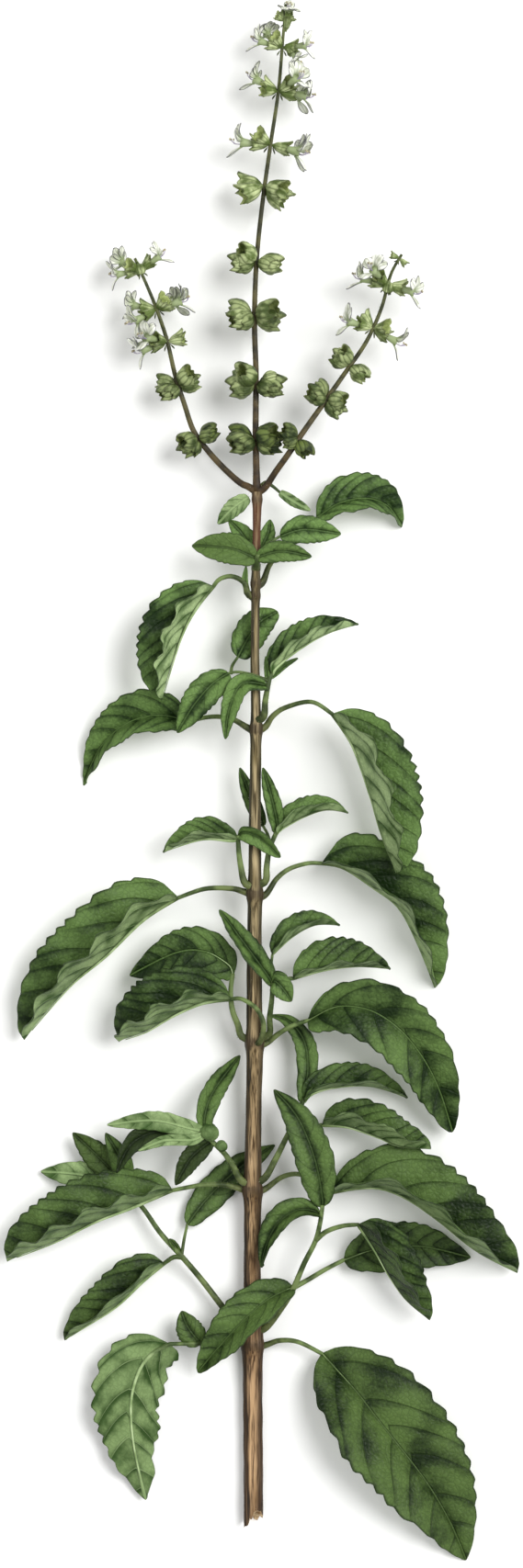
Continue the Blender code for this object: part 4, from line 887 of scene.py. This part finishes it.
def grid_faces(rows, columns, wrap=False, start=0, flip=False):
    """The quads of a grid of points, whose columns join up where wrap is set."""
    row = np.arange(rows - 1)[:, None]
    column = np.arange(columns if wrap else columns - 1)
    here, beside = row * columns + column, row * columns + (column + 1) % columns
    quads = np.stack([here, beside, beside + columns, here + columns], axis=-1).reshape(-1, 4)
    return ((quads[:, ::-1] if flip else quads) + start).tolist()


def sheet(piece, middle, normals, thickness, surfaces, wrap=False, **values):
    """A closed thin sheet about the grid of points middle, with materials for its front, back and rim."""
    shape = middle.shape[:2]
    rows, columns = shape
    size = rows * columns
    half = normals * np.broadcast_to(thickness, shape)[..., None] / 2
    points = np.concatenate([(middle + half).reshape(-1, 3), (middle - half).reshape(-1, 3)])
    ends = [[*range(columns)], [*range(size - 1, size - columns - 1, -1)]]
    if wrap:
        border = [[*line, line[0]] for line in ends]
    else:
        border = [[*range(columns - 1, size, columns)], [*range(size - columns, -1, -columns)], *ends]
    rim = [(b, a, a + size, b + size) for line in border for a, b in zip(line, line[1:])]
    parts = [grid_faces(rows, columns, wrap), grid_faces(rows, columns, wrap, size, True), rim]
    chosen = [surface for surface, part in zip(surfaces, parts) for _ in part]
    both = {name: np.tile(np.broadcast_to(value, shape).reshape(-1), 2) for name, value in values.items()}
    piece.add(points, sum(parts, []), chosen, **both)


def tube(piece, path, radii, surface, tone=0.0, sides=TUBE_SIDES, square=0.0, pale=0.0):
    """A closed round tube along path; square above 0 gives it four ridges."""
    path, radii = np.asarray(path, float), np.asarray(radii, float)
    across, up = crossways(unit(np.gradient(path, axis=0)))
    angles = circle(sides)
    swell = 1 + square * np.cos(4 * (angles - math.pi / 4))
    ring = turned(across[:, None], up[:, None], np.degrees(angles)) * swell[:, None]
    points = path[:, None] + ring * radii[:, None, None]
    last = (len(path) - 1) * sides
    caps = [list(range(sides))[::-1], list(range(last, last + sides))]
    tones, pales = (np.repeat(np.broadcast_to(given, len(path)), sides) for given in (tone, pale))
    piece.add(points, grid_faces(len(path), sides, True) + caps, surface, tone=tones, edge=pales)


def hairs(piece, path, radii, spacing, length, surface, draw):
    """Fine hairs that stand out all round a path, one on each stretch of spacing."""
    path = np.asarray(path, float)
    stops = travelled(path)
    count = int(stops[-1] / spacing)
    if count < 1:
        return

    def drawn(low, high):
        return np.array([draw.uniform(low, high) for _ in range(count)])

    at = drawn(0.02, 0.98) * stops[-1]
    along = unit(interpolated(at, stops, unit(np.gradient(path, axis=0))))
    out = turned(*crossways(along), drawn(0, 360))
    way = unit(out + along * drawn(-0.5, 0.3)[:, None])
    distance = np.interp(at, stops, np.broadcast_to(radii, len(path))) - HAIR_ROOT
    foot = interpolated(at, stops, path) + out * distance[:, None]
    tip = foot + way * (drawn(0.6, 1.2) * length)[:, None]
    side = unit(np.cross(way, along)) * HAIR_RADIUS
    lean = unit(np.cross(way, side)) * HAIR_RADIUS
    back = foot - side * 0.5
    points = np.stack([foot + side, back + lean * 0.87, back - lean * 0.87, tip], axis=1)
    base = np.arange(count)[:, None] * 4
    faces = np.concatenate([base + np.array(face) for face in ((0, 1, 3), (1, 2, 3), (2, 0, 3), (0, 2, 1))])
    piece.add(points, faces.tolist(), surface)


def ball(piece, centre, radius, surface, tone):
    """A rolled bud: a ball with two spiral furrows, and flat at either pole."""
    rows, sides, cap = 12, 20, 0.15
    turns, drops = circle(sides), np.linspace(cap, math.pi - cap, rows)[:, None]
    wide = radius * np.sin(drops) * (1 + 0.13 * np.cos(2 * turns + 5 * drops))
    height = radius * np.cos(drops) + 0 * turns
    points = np.stack([wide * np.cos(turns), wide * np.sin(turns), height], axis=-1)
    last = (rows - 1) * sides
    caps = [list(range(sides)), list(range(last, last + sides))[::-1]]
    faces = grid_faces(rows, sides, True, flip=True) + caps
    order = np.broadcast_to(turns * 2, wide.shape)
    piece.add(points + np.array(centre), faces, surface, tone=tone, across=3.0, vein_order=order)


# Leaves


def width_share(place, rise, fall):
    """An ovate blade's half-width along it, as a share of the greatest."""
    widest = rise / (rise + fall)
    return (place / widest) ** rise * ((1 - place) / (1 - widest)) ** fall


class Rows:
    """Where a blade's rows stand: the midrib, its directions, and how wide and how open the blade is."""

    def __init__(self, leaf, places):
        self.spine = route(leaf.midrib, places)
        step = 0.5 / leaf.teeth
        ahead, behind = (route(leaf.midrib, np.clip(places + way, 0, 1)) for way in (step, -step))
        chord = unit(self.spine[-1] - self.spine[0])
        along = unit(unit(ahead - behind) * (1 - CHORD_SHARE) + chord * CHORD_SHARE)
        self.across, self.up = crossways(along)
        ends = BLADE_BASE_HALF_WIDTH + (BLADE_TIP_HALF_WIDTH - BLADE_BASE_HALF_WIDTH) * places
        ends = np.minimum(ends, leaf.half_width * MOST_END_SHARE)
        self.width = ends + (leaf.half_width - ends) * width_share(places, leaf.rise, leaf.fall)
        self.middle = (leaf.right + leaf.left) / 2
        opening = np.degrees(np.arcsin(np.minimum(1, LEAST_HALF_GAP / self.width)))
        self.opening = np.maximum((leaf.left - leaf.right) / 2, opening)
        self.inward = turned(self.across, self.up, np.full(len(places), self.middle))


def tooth_dip(places, teeth, draw):
    """How far the margin is drawn in: 0 at a tooth's tip and 1 in the notch behind it."""
    shifted = places * teeth + draw.uniform(0, 1) + 0.35 * np.sin(places * draw.uniform(9, 13))
    phase = shifted % 1
    rising = 1 - phase / TOOTH_TIP
    falling = (phase - TOOTH_TIP) / (1 - TOOTH_TIP)
    dip = np.where(phase < TOOTH_TIP, np.clip(rising, 0, 1) ** 1.4, np.clip(falling, 0, 1) ** 1.1)
    return dip * smooth(places, 0.02, 0.12)


def blade(piece, leaf, skin, tone, draw):
    """A thin quilted blade with a toothed margin, and with a groove above its midrib."""
    teeth = round(leaf.teeth * TEETH_RATIO)
    places = np.linspace(0, 1, max(LEAST_ROWS, teeth * ROWS_A_TOOTH))
    columns = max(LEAST_COLUMNS, round(leaf.half_width / COLUMN_GAP))
    shares = np.linspace(0, 1, columns + 1) ** 0.9
    at = Rows(leaf, places)
    chances = [draw.uniform(0, most) for most in (6, 1, 6)] + [draw.uniform(0.8, 1.25) for _ in range(4)]
    right, left = (
        half_blade(leaf, teeth, places[:, None], shares, at, side, chances, draw) for side in (-1, 1)
    )
    middle, normal, out, order = (np.concatenate([b[:, :0:-1], a], axis=1) for a, b in zip(right, left))
    edge = np.concatenate([shares[:0:-1], shares])
    normal[:, columns] = at.inward
    thickness = MARGIN_THICKNESS + (BLADE_THICKNESS - MARGIN_THICKNESS) * (1 - edge**3)
    clear = LARGE_LEAF_CLEARNESS if leaf.half_width > LARGE_HALF_WIDTH else SMALL_LEAF_CLEARNESS
    faces = skin["upper"], skin["under"], skin["edge"]
    sheet(piece, middle, normal, thickness, faces,
          vein_order=order + ORDER_START, across=out, edge=edge, tone=tone, veins=clear)


def half_blade(leaf, teeth, places, shares, at, side, chances, draw):
    """The grid of points on one side of the midrib, with their normals, ways out and vein orders.

    A half that shows its underside has deeper teeth and waves."""
    wave_phase, vein_phase, stray, *bumps = chances
    leaving = at.middle + side * at.opening
    turned_over = smooth(side * np.cos(np.radians(leaving)), 0.0, 0.3)
    dip = tooth_dip(places[:, 0], teeth, draw) * (1 + OVER_TEETH * turned_over)
    drawn_in = at.width - at.width * (1 - MARGIN_DEPTH * dip)
    band = np.clip((shares - (1 - MARGIN_BAND)) / MARGIN_BAND, 0, 1) ** 2
    out = at.width[:, None] * shares - drawn_in[:, None] * band

    angles = leaving[:, None] + side * CURL * (shares - 0.5)
    across, up = at.across[:, None], at.up[:, None]
    ways = turned(across, up, (angles[:, 1:] + angles[:, :-1]) / 2)
    steps = np.cumsum(ways * np.diff(out, axis=1)[..., None], axis=1)
    offset = np.concatenate([np.zeros((len(places), 1, 3)), steps], axis=1)
    normal = turned(across, up, angles - side * 90)

    length = length_of(leaf.midrib)
    veins = LARGE_LEAF_VEINS if leaf.half_width > LARGE_HALF_WIDTH else SMALL_LEAF_VEINS
    order = veins * (places - (VEIN_RISE * out + VEIN_ARC * out**2 / leaf.half_width) / length)
    order = order + vein_phase + VEIN_STAGGER * (side > 0) + 0.14 * np.sin(order * 2.1 + stray + side)
    quilt = QUILT_DEPTH * leaf.half_width * (np.sqrt(np.abs(np.sin(math.pi * order)) + 0.01) - 0.7)
    run = places * length * 0.9 * bumps[0]
    rumple = np.sin(run + 1.7 * np.sin(out * 0.7 * bumps[1]) + side) * np.sin(out * bumps[2] + stray)
    ends = smooth(places, 0, 0.1) * smooth(1 - places, 0, 0.12)
    body = smooth(shares, 0.02, 0.2) * (1 - 0.7 * smooth(shares, 0.75, 1.0)) * ends
    groove = MIDRIB_GROOVE * np.exp(-((out / MIDRIB_HALF_WIDTH) ** 2))
    wave = np.sin(places * teeth * math.pi * 0.62 * bumps[3] + wave_phase + side) * shares**2.5 * ends
    wave = wave * MARGIN_WAVE * leaf.half_width * (1 + OVER_WAVE * turned_over)[:, None]
    relief = (quilt + RUMPLE * rumple) * body - groove + wave
    return at.spine[:, None] + offset + normal * relief[..., None], normal, out, order


def stalked_leaf(piece, leaf, skin, tone, draw, from_stem=False):
    """A blade with its petiole, which runs on under it as the midrib."""
    petiole = leaf.petiole
    if len(petiole) == 1:
        leaf, petiole = leaf._replace(midrib=petiole + leaf.midrib), []
    blade(piece, leaf, skin, tone, draw)
    radius = PETIOLE_RADIUS if leaf.half_width > LARGE_HALF_WIDTH else SMALL_STALK_RADIUS
    places = np.linspace(0, MIDRIB_END, MIDRIB_ROWS)
    at = Rows(leaf, places)
    rib_radii = radius * (0.75 - 0.62 * places**0.8)
    rib = at.spine - at.inward * (MIDRIB_GROOVE + 0.45 * rib_radii)[:, None]
    if not petiole:
        tube(piece, rib, rib_radii, skin["stalk"], pale=1.0)
        return
    stalk = [*petiole, leaf.midrib[0]]
    if from_stem:
        stalk = [stem_axis(stalk[0][1] - ROOT_DROP), *stalk]
    length = length_of(stalk)
    shares = np.linspace(0, 1, max(8, round(length / STALK_STEP)))[:-1]
    path = route([*stalk[:-1], tuple(rib[0])], shares)
    if from_stem:
        swell, woody, hairy = 0.8 * np.exp(-shares * length / 3), 0.7 * (1 - shares) ** 2, PETIOLE_HAIRS
    else:
        swell, woody, hairy = 0, 0.1 * (1 - shares), SMALL_STALK_HAIRS
    radii = radius * (1 + swell) * (1 - 0.25 * shares)
    woody = np.concatenate([woody, np.zeros(len(places))])
    pale = np.concatenate([np.zeros(len(path)), smooth(places, 0, 0.25)])
    whole = np.concatenate([path, rib])
    tube(piece, whole, np.concatenate([radii, rib_radii]), skin["stalk"], woody, pale=pale)
    hairs(piece, path, radii, *hairy, skin["hair"], draw)


def stem_axis(y):
    """The point on the main stem's axis at y, from which every stalk leaves."""
    stops = np.array(STEM)
    return tuple(interpolated(y, stops[:, 1], stops)[:3])


def rest_on_table(piece, root):
    """Bends a leaf down, more the further from its root, until its lowest point is on the table."""
    points = np.concatenate(piece.points)
    lowest = points[points[:, 2].argmin()]
    reach = math.dist(lowest[:2], root[:2])
    for chunk in piece.points:
        away = np.linalg.norm(chunk[:, :2] - np.array(root[:2]), axis=1) / reach
        chunk[:, 2] -= lowest[2] * away


def look_of(name, index, leaf, skin):
    """A leaf's materials and tone: blades are darkest near the cut end and lighter towards the flowers."""
    by_place = min(1, max(0, (leaf.midrib[0][1] + 30) / 290))
    look, tone = LEAF_LOOKS.get((name, index), (None, by_place))
    if look == "over":
        skin = {**skin, "upper": skin["under"], "under": skin["upper"]}
    if look == "both":
        skin = {**skin, "under": skin["upper"]}
    return skin, tone


def stem_leaf(name, leaf, collection, skin):
    piece = Piece(name + "_blade", name, "leaf_green")
    draw = random.Random(name)
    shown, tone = look_of(name, 0, leaf, skin)
    stalked_leaf(piece, leaf, shown, tone, draw, from_stem=True)
    for side_leaf in SIDE_LEAVES.get(name, ()):
        stalked_leaf(piece, side_leaf, skin, tone, draw)
    if name in RESTING:
        rest_on_table(piece, leaf.petiole[0])
    piece.finish(collection)


def shoot(name, given, collection, skin):
    piece = Piece(name + "_leaves", name, "leaf_green")
    draw = random.Random(name)
    stalk = [stem_axis(given.stalk[0][1] - ROOT_DROP), *given.stalk]
    length = length_of(stalk)
    shares = np.linspace(0, 1, max(10, round(length / STALK_STEP)))
    radii = SHOOT_RADII[0] + (SHOOT_RADII[1] - SHOOT_RADII[0]) * shares
    radii = radii * (1 + 0.4 * np.exp(-shares * length / 4))
    path = route(stalk, shares)
    tube(piece, path, radii, skin["stalk"], 0.6 * (1 - shares) ** 2, square=0.08)
    hairs(piece, path, radii, *SHOOT_HAIRS, skin["hair"], draw)
    for index, leaf in enumerate(given.leaves):
        stalked_leaf(piece, leaf, *look_of(name, index, leaf, skin), draw)
    for *centre, radius in given.buds:
        ball(piece, centre, radius, skin["under"], 0.1)
    piece.finish(collection)


# The main stem


def main_stem(collection, skin):
    """The square stem with a ring at each node, torn at its cut end."""
    piece = Piece("stem_bark_surface", "main_stem", "stem_bark")
    draw = random.Random(SEED)
    stops = np.array(STEM)
    end_y, top_y = stops[0, 1], stops[-1, 1]
    ys = np.linspace(end_y, top_y, STEM_ROWS)
    kernel = np.hanning(SMOOTH_ROWS) / np.hanning(SMOOTH_ROWS).sum()
    x, _, z, half_width = (
        np.convolve(np.pad(line, SMOOTH_ROWS // 2, "edge"), kernel, "valid")
        for line in interpolated(ys, stops[:, 1], stops).T
    )
    roots = [leaf.petiole[0][1] for leaf in STEM_LEAVES.values()]
    ring = np.clip(sum(np.exp(-(((ys - root + NODE_DROP) / NODE_RING) ** 2)) for root in roots), 0, 1)

    angles = circle(STEM_SIDES)
    section = np.abs(np.cos(angles)) ** SECTION_POWER + np.abs(np.sin(angles)) ** SECTION_POWER
    section = section ** (-1 / SECTION_POWER) * (1 - FURROW * np.cos(4 * angles))
    rows = ys[:, None]
    wander = sum(share * np.sin(rows * along + angles * around) for share, along, around in STEM_WAVES)
    radii = (half_width + NODE_SWELL * ring)[:, None] * section * (1 + wander)
    across, above = radii * np.cos(angles), radii * np.sin(angles)
    points = np.stack([x[:, None] + across, rows + 0 * radii, z[:, None] + above], axis=-1)

    corners = (np.arange(-1, len(TEAR) + 1) + 0.5) / len(TEAR) * 2 * math.pi
    torn = np.interp(angles, corners, [TEAR[-1], *TEAR, TEAR[0]])
    torn = torn + np.array([draw.uniform(-SPLINTERS, SPLINTERS) for _ in angles])
    points[..., 1] -= torn * smooth(end_y + TEAR_REACH - points[..., 1], 0, TEAR_REACH)
    piece.add(points, grid_faces(STEM_ROWS, STEM_SIDES, True), skin["bark"],
              across=across / half_width[:, None], edge=ring[:, None] + 0 * radii)

    centre = np.array([x[0], end_y, z[0]])
    rings = [points[0]]
    for share, depth in END_RINGS:
        end_ring = centre + (points[0] - centre) * share
        end_ring[:, 1] += depth + np.array([draw.uniform(-PITH_UNEVEN, PITH_UNEVEN) for _ in angles])
        rings.append(end_ring)
    end = np.concatenate([*rings, [centre + (0, PITH_DEPTH, 0)]])
    last = (len(rings) - 1) * STEM_SIDES
    fan = [(last + (side + 1) % STEM_SIDES, last + side, len(end) - 1) for side in range(STEM_SIDES)]
    piece.add(end, grid_faces(len(rings), STEM_SIDES, True, flip=True) + fan, skin["pith"])
    piece.add(points[-1], [list(range(STEM_SIDES))], skin["bark"])
    hairs(piece, np.stack([x, ys, z], axis=-1), half_width, *STEM_HAIRS, skin["hair"], draw)
    piece.finish(collection)


# Flower spikes


def seat_along(centre, way, lip):
    """The seat, a matrix, that a calyx, petal or flower is shaped in and then placed by.

    It is at centre, its z axis is way and its x axis leans towards lip, the side of the upper lip."""
    way, lip = unit(np.asarray(way, float)), np.asarray(lip, float)
    lip = unit(lip - way * way.dot(lip))
    seat = np.eye(4)
    seat[:3, :3] = np.array([lip, np.cross(way, lip), way]).T
    seat[:3, 3] = centre
    return seat


def placed(points, seat, scale):
    return np.asarray(points, float) * scale @ seat[:3, :3].T + seat[:3, 3]


def seat_out(centre, along, turn, lean):
    """A seat that points away from the rachis at turn degrees round it, leaning towards its top."""
    out = turned(*crossways(along), turn)
    return seat_along(centre, turned(out, along, lean), along)


def aside(turn):
    """A turn moved towards the rachis's left or right: a whorl is two opposite groups of calyces."""
    side = 0 if math.cos(math.radians(turn)) > 0 else 180
    return side + ASIDE * ((turn - side + 180) % 360 - 180)


def whorl_seats(centre, along, whorl, draw):
    for index in range(CALYCES_A_WHORL):
        wobble, tip = draw.uniform(-TURN_WOBBLE, TURN_WOBBLE), draw.uniform(-TIP_WOBBLE, TIP_WOBBLE)
        if index not in whorl.missing:
            turn = aside(whorl.turn + index * 360 / CALYCES_A_WHORL) + wobble
            spread = SPREAD if index % 2 else -SPREAD
            yield index, seat_out(centre, along, turn, whorl.lean + tip + spread)


def lobe(angles, centre, width, sharp):
    """1 at the angle centre, falling to 0 at width on either side; sharp below 1 is pointed."""
    away = np.abs((angles - centre + math.pi) % (2 * math.pi) - math.pi) / width
    return np.clip(1 - away**sharp, 0, 1)


def calyx(piece, seat, scale, skin, tone, draw, closed=None):
    """A ribbed, two-lipped bell on a short stalk: a broad upper lobe, two short side teeth, two long
    lower ones.

    It is slender round a flower, where closed is None. Later it swells, and is a ball where closed is 1."""
    angles = circle(CALYX_ANGLES)
    if closed is None:
        profile, tooth_share = np.array(CALYX_PROFILE), 0.9
    else:
        profile = np.array(OPEN_PROFILE) * (1 - closed) + np.array(CLOSED_PROFILE) * closed
        tooth_share = 1.1 - 0.3 * closed
    shares = np.linspace(0, 1, CALYX_ROWS)
    out, radius = interpolated(shares, np.linspace(0, 1, len(profile)), profile).T[..., None]
    teeth = UPPER_LOBE[-1] * lobe(angles, *UPPER_LOBE[:-1])
    for centre, width, sharp, height in SIDE_TEETH:
        teeth += height * (lobe(angles, centre, width, sharp) + lobe(angles, -centre, width, sharp))
    shares = shares[:, None]
    lip = smooth(shares, 0.6, 1.0)
    ribs = 1 + 0.05 * np.cos(CALYX_RIBS * angles) * smooth(shares, 0.1, 0.4)
    flare = 1 + 0.3 * lip * lobe(angles, 0, 1.0, 2)
    wide = radius * ribs * flare * draw.uniform(0.92, 1.08)
    reach = out + lip * (teeth * tooth_share - 0.3)
    points = placed(np.stack([wide * np.cos(angles), wide * np.sin(angles), reach], axis=-1), seat, scale)
    normals = unit(np.cross(np.roll(points, -1, 1) - np.roll(points, 1, 1), np.gradient(points, axis=0)))
    surfaces = skin["calyx"], skin["calyx_inside"], skin["calyx"]
    order = angles * CALYX_RIBS / (2 * math.pi) + 0.5
    sheet(piece, points, normals, CALYX_THICKNESS, surfaces, True, edge=shares, vein_order=order, tone=tone)
    axis = placed([(0, 0, 1.6), (0, 0, 6.0)], seat, scale)
    hairs(piece, axis, [1.3 * scale, 2.2 * scale], *CALYX_HAIRS, skin["hair"], draw)


def petal(piece, seat, scale, material, turn, start, length, width, rise, curl):
    """A spoon-shaped lobe that leaves the flower's throat at the angle turn and curls back."""
    shares = np.linspace(0, 1, PETAL_ROWS)[:, None]
    across = np.linspace(-1, 1, PETAL_COLUMNS)
    half = width * np.sqrt(np.clip(np.sin(math.pi * shares**1.4), 0.03, 1))
    bend = np.radians(rise) + np.radians(curl) * shares
    forward = np.cumsum(np.cos(bend), axis=0) * length / PETAL_ROWS
    outward = np.cumsum(np.sin(bend), axis=0) * length / PETAL_ROWS
    side, cup = across * half, 0.3 * across**2 * half
    spread = 0.9 + outward + cup * np.cos(bend)
    x = spread * math.cos(turn) - side * math.sin(turn)
    y = spread * math.sin(turn) + side * math.cos(turn)
    z = start + forward - cup * np.sin(bend)
    points = placed(np.stack([x, y, z], axis=-1), seat, scale)
    normals = unit(np.cross(np.gradient(points, axis=1), np.gradient(points, axis=0)))
    edge = np.maximum(np.abs(across) ** 1.5, shares**3)
    tone = 0.8 * (1 - smooth(shares, 0, 0.5))
    sheet(piece, points, normals, PETAL_THICKNESS, [material] * 3,
          edge=edge, vein_order=across * 1.5 + 0.5, tone=tone)


def flower(piece, seat, scale, skin, draw):
    """A white two-lipped flower: a tube out of the calyx, four upper lobes, a lower lip and four stamens."""
    scale = scale * FLOWER_SIZE
    white = skin["corolla"]
    stops = [(bend, 0, away) for away, bend, _ in FLOWER_TUBE]
    radii = np.array([radius for _, _, radius in FLOWER_TUBE]) * scale
    tube(piece, placed(stops, seat, scale), radii, white, 0.8)
    for index in range(UPPER_PETALS):
        turn = math.radians(-57 + 38 * index + draw.uniform(-6, 6))
        length = 4.6 + draw.uniform(-0.5, 0.8)
        rise, curl = 14 + draw.uniform(-8, 8), 85 + draw.uniform(-20, 45)
        petal(piece, seat, scale, white, turn, THROAT, length, 1.6, rise, curl)
    petal(piece, seat, scale, white, math.pi, THROAT, 5.0, 1.8, 8, 60 + draw.uniform(-10, 30))
    for index in range(STAMENS):
        x, y = math.cos(math.radians(150 + 20 * index)), math.sin(math.radians(150 + 20 * index))
        line = [(0, 0, 5.0), (0.4 * x, 0.4 * y, 7.0), (0.7 * x + 0.4, 1.3 * y, 8.4),
                (0.5 * x + 1.1, 1.7 * y, 9.0 + draw.uniform(-0.5, 0.5))]
        path = placed(route(line, np.linspace(0, 1, 9)), seat, scale)
        tube(piece, path, np.full(9, STAMEN_RADIUS), skin["filament"], sides=5)
        anther = [path[-1] + (0.0, way * 0.3, way * 0.1) for way in (-1, 0, 1)]
        tube(piece, anther, ANTHER_RADII, skin["anther"], sides=8)


def raceme(name, given, collection, skin):
    piece = Piece(name + "_flowers", name, "calyx_green")
    draw, details = random.Random(SEED), random.Random(SEED + 1)
    places = route(given.rachis, np.linspace(0, 1, RACHIS_PLACES))
    shares = np.linspace(0, 1, RACHIS_ROWS)
    path = route([stem_axis(given.rachis[0][1] - ROOT_DROP), *given.rachis], shares)
    radii = RACHIS_RADII[0] + (RACHIS_RADII[1] - RACHIS_RADII[0]) * shares
    foot = radii * (1 + 0.4 * np.exp(-shares * 50))
    tube(piece, path, foot, skin["stalk"], 1 - 0.55 * shares**1.3, square=0.1)
    hairs(piece, path, radii, *RACHIS_HAIRS, skin["hair"], details)
    for number, whorl in enumerate(given.whorls):
        nearest = min(range(1, RACHIS_PLACES - 1), key=lambda place: abs(places[place][1] - whorl.y))
        along = unit(places[nearest + 1] - places[nearest - 1])
        whorl_of(piece, whorl, places[nearest], along, number / len(given.whorls), skin, draw, details)
    for bud in BUDS.get(name, ()):
        seat = seat_along(bud.centre, bud.way, (0.0, 0.3, 1.0))
        closed = None if bud.in_flower else BUD_CLOSED
        calyx(piece, seat, bud.size * BUD_SIZE, skin, BUD_TONE, details, closed)
        if bud.in_flower:
            flower(piece, seat, bud.size, skin, details)
    piece.finish(collection)


def whorl_of(piece, whorl, centre, along, height, skin, draw, details):
    """A whorl's calyces, flowers and two bracts. height is 0 in the lowest whorl and nears 1 in the
    topmost, and a whorl below OLD_BELOW has more calyces, which have closed over their seeds."""
    young = bool(whorl.flowers) or whorl.size < YOUNG_BELOW
    for index, seat in whorl_seats(centre, along, whorl, draw):
        tone = min(1, 1.7 * height + details.uniform(-0.1, 0.3))
        if young:
            closed = None
        elif height < OLD_BELOW:
            closed = details.uniform(*OLD_CLOSED)
        else:
            closed = details.uniform(*LATER_CLOSED)
        calyx(piece, seat, whorl.size * (YOUNG_SIZE if young else 1), skin, tone, details, closed)
        if index in whorl.flowers:
            flower(piece, seat, whorl.size, skin, details)
    for index in range(CALYCES_A_WHORL):
        turn = whorl.turn + (index + 0.5) * 360 / CALYCES_A_WHORL
        if young or height > OLD_BELOW or math.sin(math.radians(turn)) < 0.2 or index in whorl.missing:
            continue
        turn = aside(turn) + details.uniform(-EXTRA_WOBBLE, EXTRA_WOBBLE)
        seat = seat_out(centre, along, turn, whorl.lean - details.uniform(*EXTRA_DROP))
        tone, closed = min(1, height + 0.15), details.uniform(*EXTRA_CLOSED)
        calyx(piece, seat, whorl.size * EXTRA_SIZE, skin, tone, details, closed)
    for side in (-1, 1):
        across = np.cross(along, UP) * side
        seat = seat_along(centre - along * BRACT_DROP, across - along * BRACT_SLANT, along)
        petal(piece, seat, whorl.size, skin["calyx"], 0.0, 0.4, 2.3, 1.1, -60, 30)


# The stage


def stage():
    plane = bpy.data.meshes.new("table")
    corners = [(x * FLOOR_REACH, y * FLOOR_REACH, 0) for x, y in ((-1, -1), (1, -1), (1, 1), (-1, 1))]
    plane.from_pydata(corners, [], [(0, 1, 2, 3)])
    plane.materials.append(Nodes("table", 0.9, (0.9, 0.9, 0.89, 1)).material)
    floor = bpy.data.objects.new("table", plane)
    bpy.context.scene.collection.objects.link(floor)


def light(name, place, energy, angle):
    """A soft distant light that shines from place towards the origin."""
    data = bpy.data.lights.new(name, "SUN")
    data.energy, data.angle = energy, math.radians(angle)
    obj = bpy.data.objects.new(name, data)
    obj.location = place
    obj.rotation_euler = Vector(place).to_track_quat("Z", "Y").to_euler()
    bpy.context.scene.collection.objects.link(obj)


def lighting():
    world = bpy.data.worlds.new("studio")
    bpy.context.scene.world = world
    world.use_nodes = True
    background = world.node_tree.nodes["Background"]
    background.inputs[0].default_value = (1, 1, 1, 1)
    background.inputs[1].default_value = WORLD_STRENGTH
    for name, given in LIGHTS.items():
        light(name, *given)
    bpy.context.scene.view_settings.view_transform = "Standard"


def camera():
    data = bpy.data.cameras.new("camera")
    data.lens, data.sensor_width = CAMERA_LENS, SENSOR
    data.clip_end = CAMERA_REACH
    obj = bpy.data.objects.new("camera", data)
    x, y = PICTURE_CENTRE
    distance = PICTURE_HEIGHT * CAMERA_LENS / SENSOR
    obj.location = (x * MM, y * MM, (distance + MID_HEIGHT) * MM)
    bpy.context.scene.collection.objects.link(obj)
    bpy.context.scene.camera = obj


def main():
    assert set(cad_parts) == {"main_stem", *STEM_LEAVES, *SHOOTS, *RACEMES}
    collection = bpy.data.collections.new("basil_bunch")
    bpy.context.scene.collection.children.link(collection)
    skin = {
        "upper": leaf_upper_material(),
        "under": leaf_under_material(),
        "edge": plain_material("leaf_edge", 0.6, srgb(52, 72, 30), srgb(36, 54, 18)),
        "stalk": stalk_material(),
        "bark": bark_material(),
        "pith": pith_material(),
        "calyx": calyx_material(),
        # The pale green inside of a calyx: partly its own colour, partly painted light that lifts the shade
        # in the cup
        "calyx_inside": plain_material("calyx_inside", 0.6, srgb(172, 184, 118), srgb(128, 142, 78)),
        "corolla": corolla_material(),
        "filament": plain_material("filament", 0.5, srgb(190, 180, 196), srgb(150, 140, 170)),
        "hair": plain_material("hair", 0.6, srgb(196, 204, 172), srgb(150, 160, 120)),
        "anther": plain_material("anther", 0.7, srgb(196, 188, 150), srgb(140, 132, 110)),
    }
    main_stem(collection, skin)
    for made, table in ((stem_leaf, STEM_LEAVES), (shoot, SHOOTS), (raceme, RACEMES)):
        for name, given in table.items():
            made(name, given, collection, skin)
    stage()
    lighting()
    camera()


main()
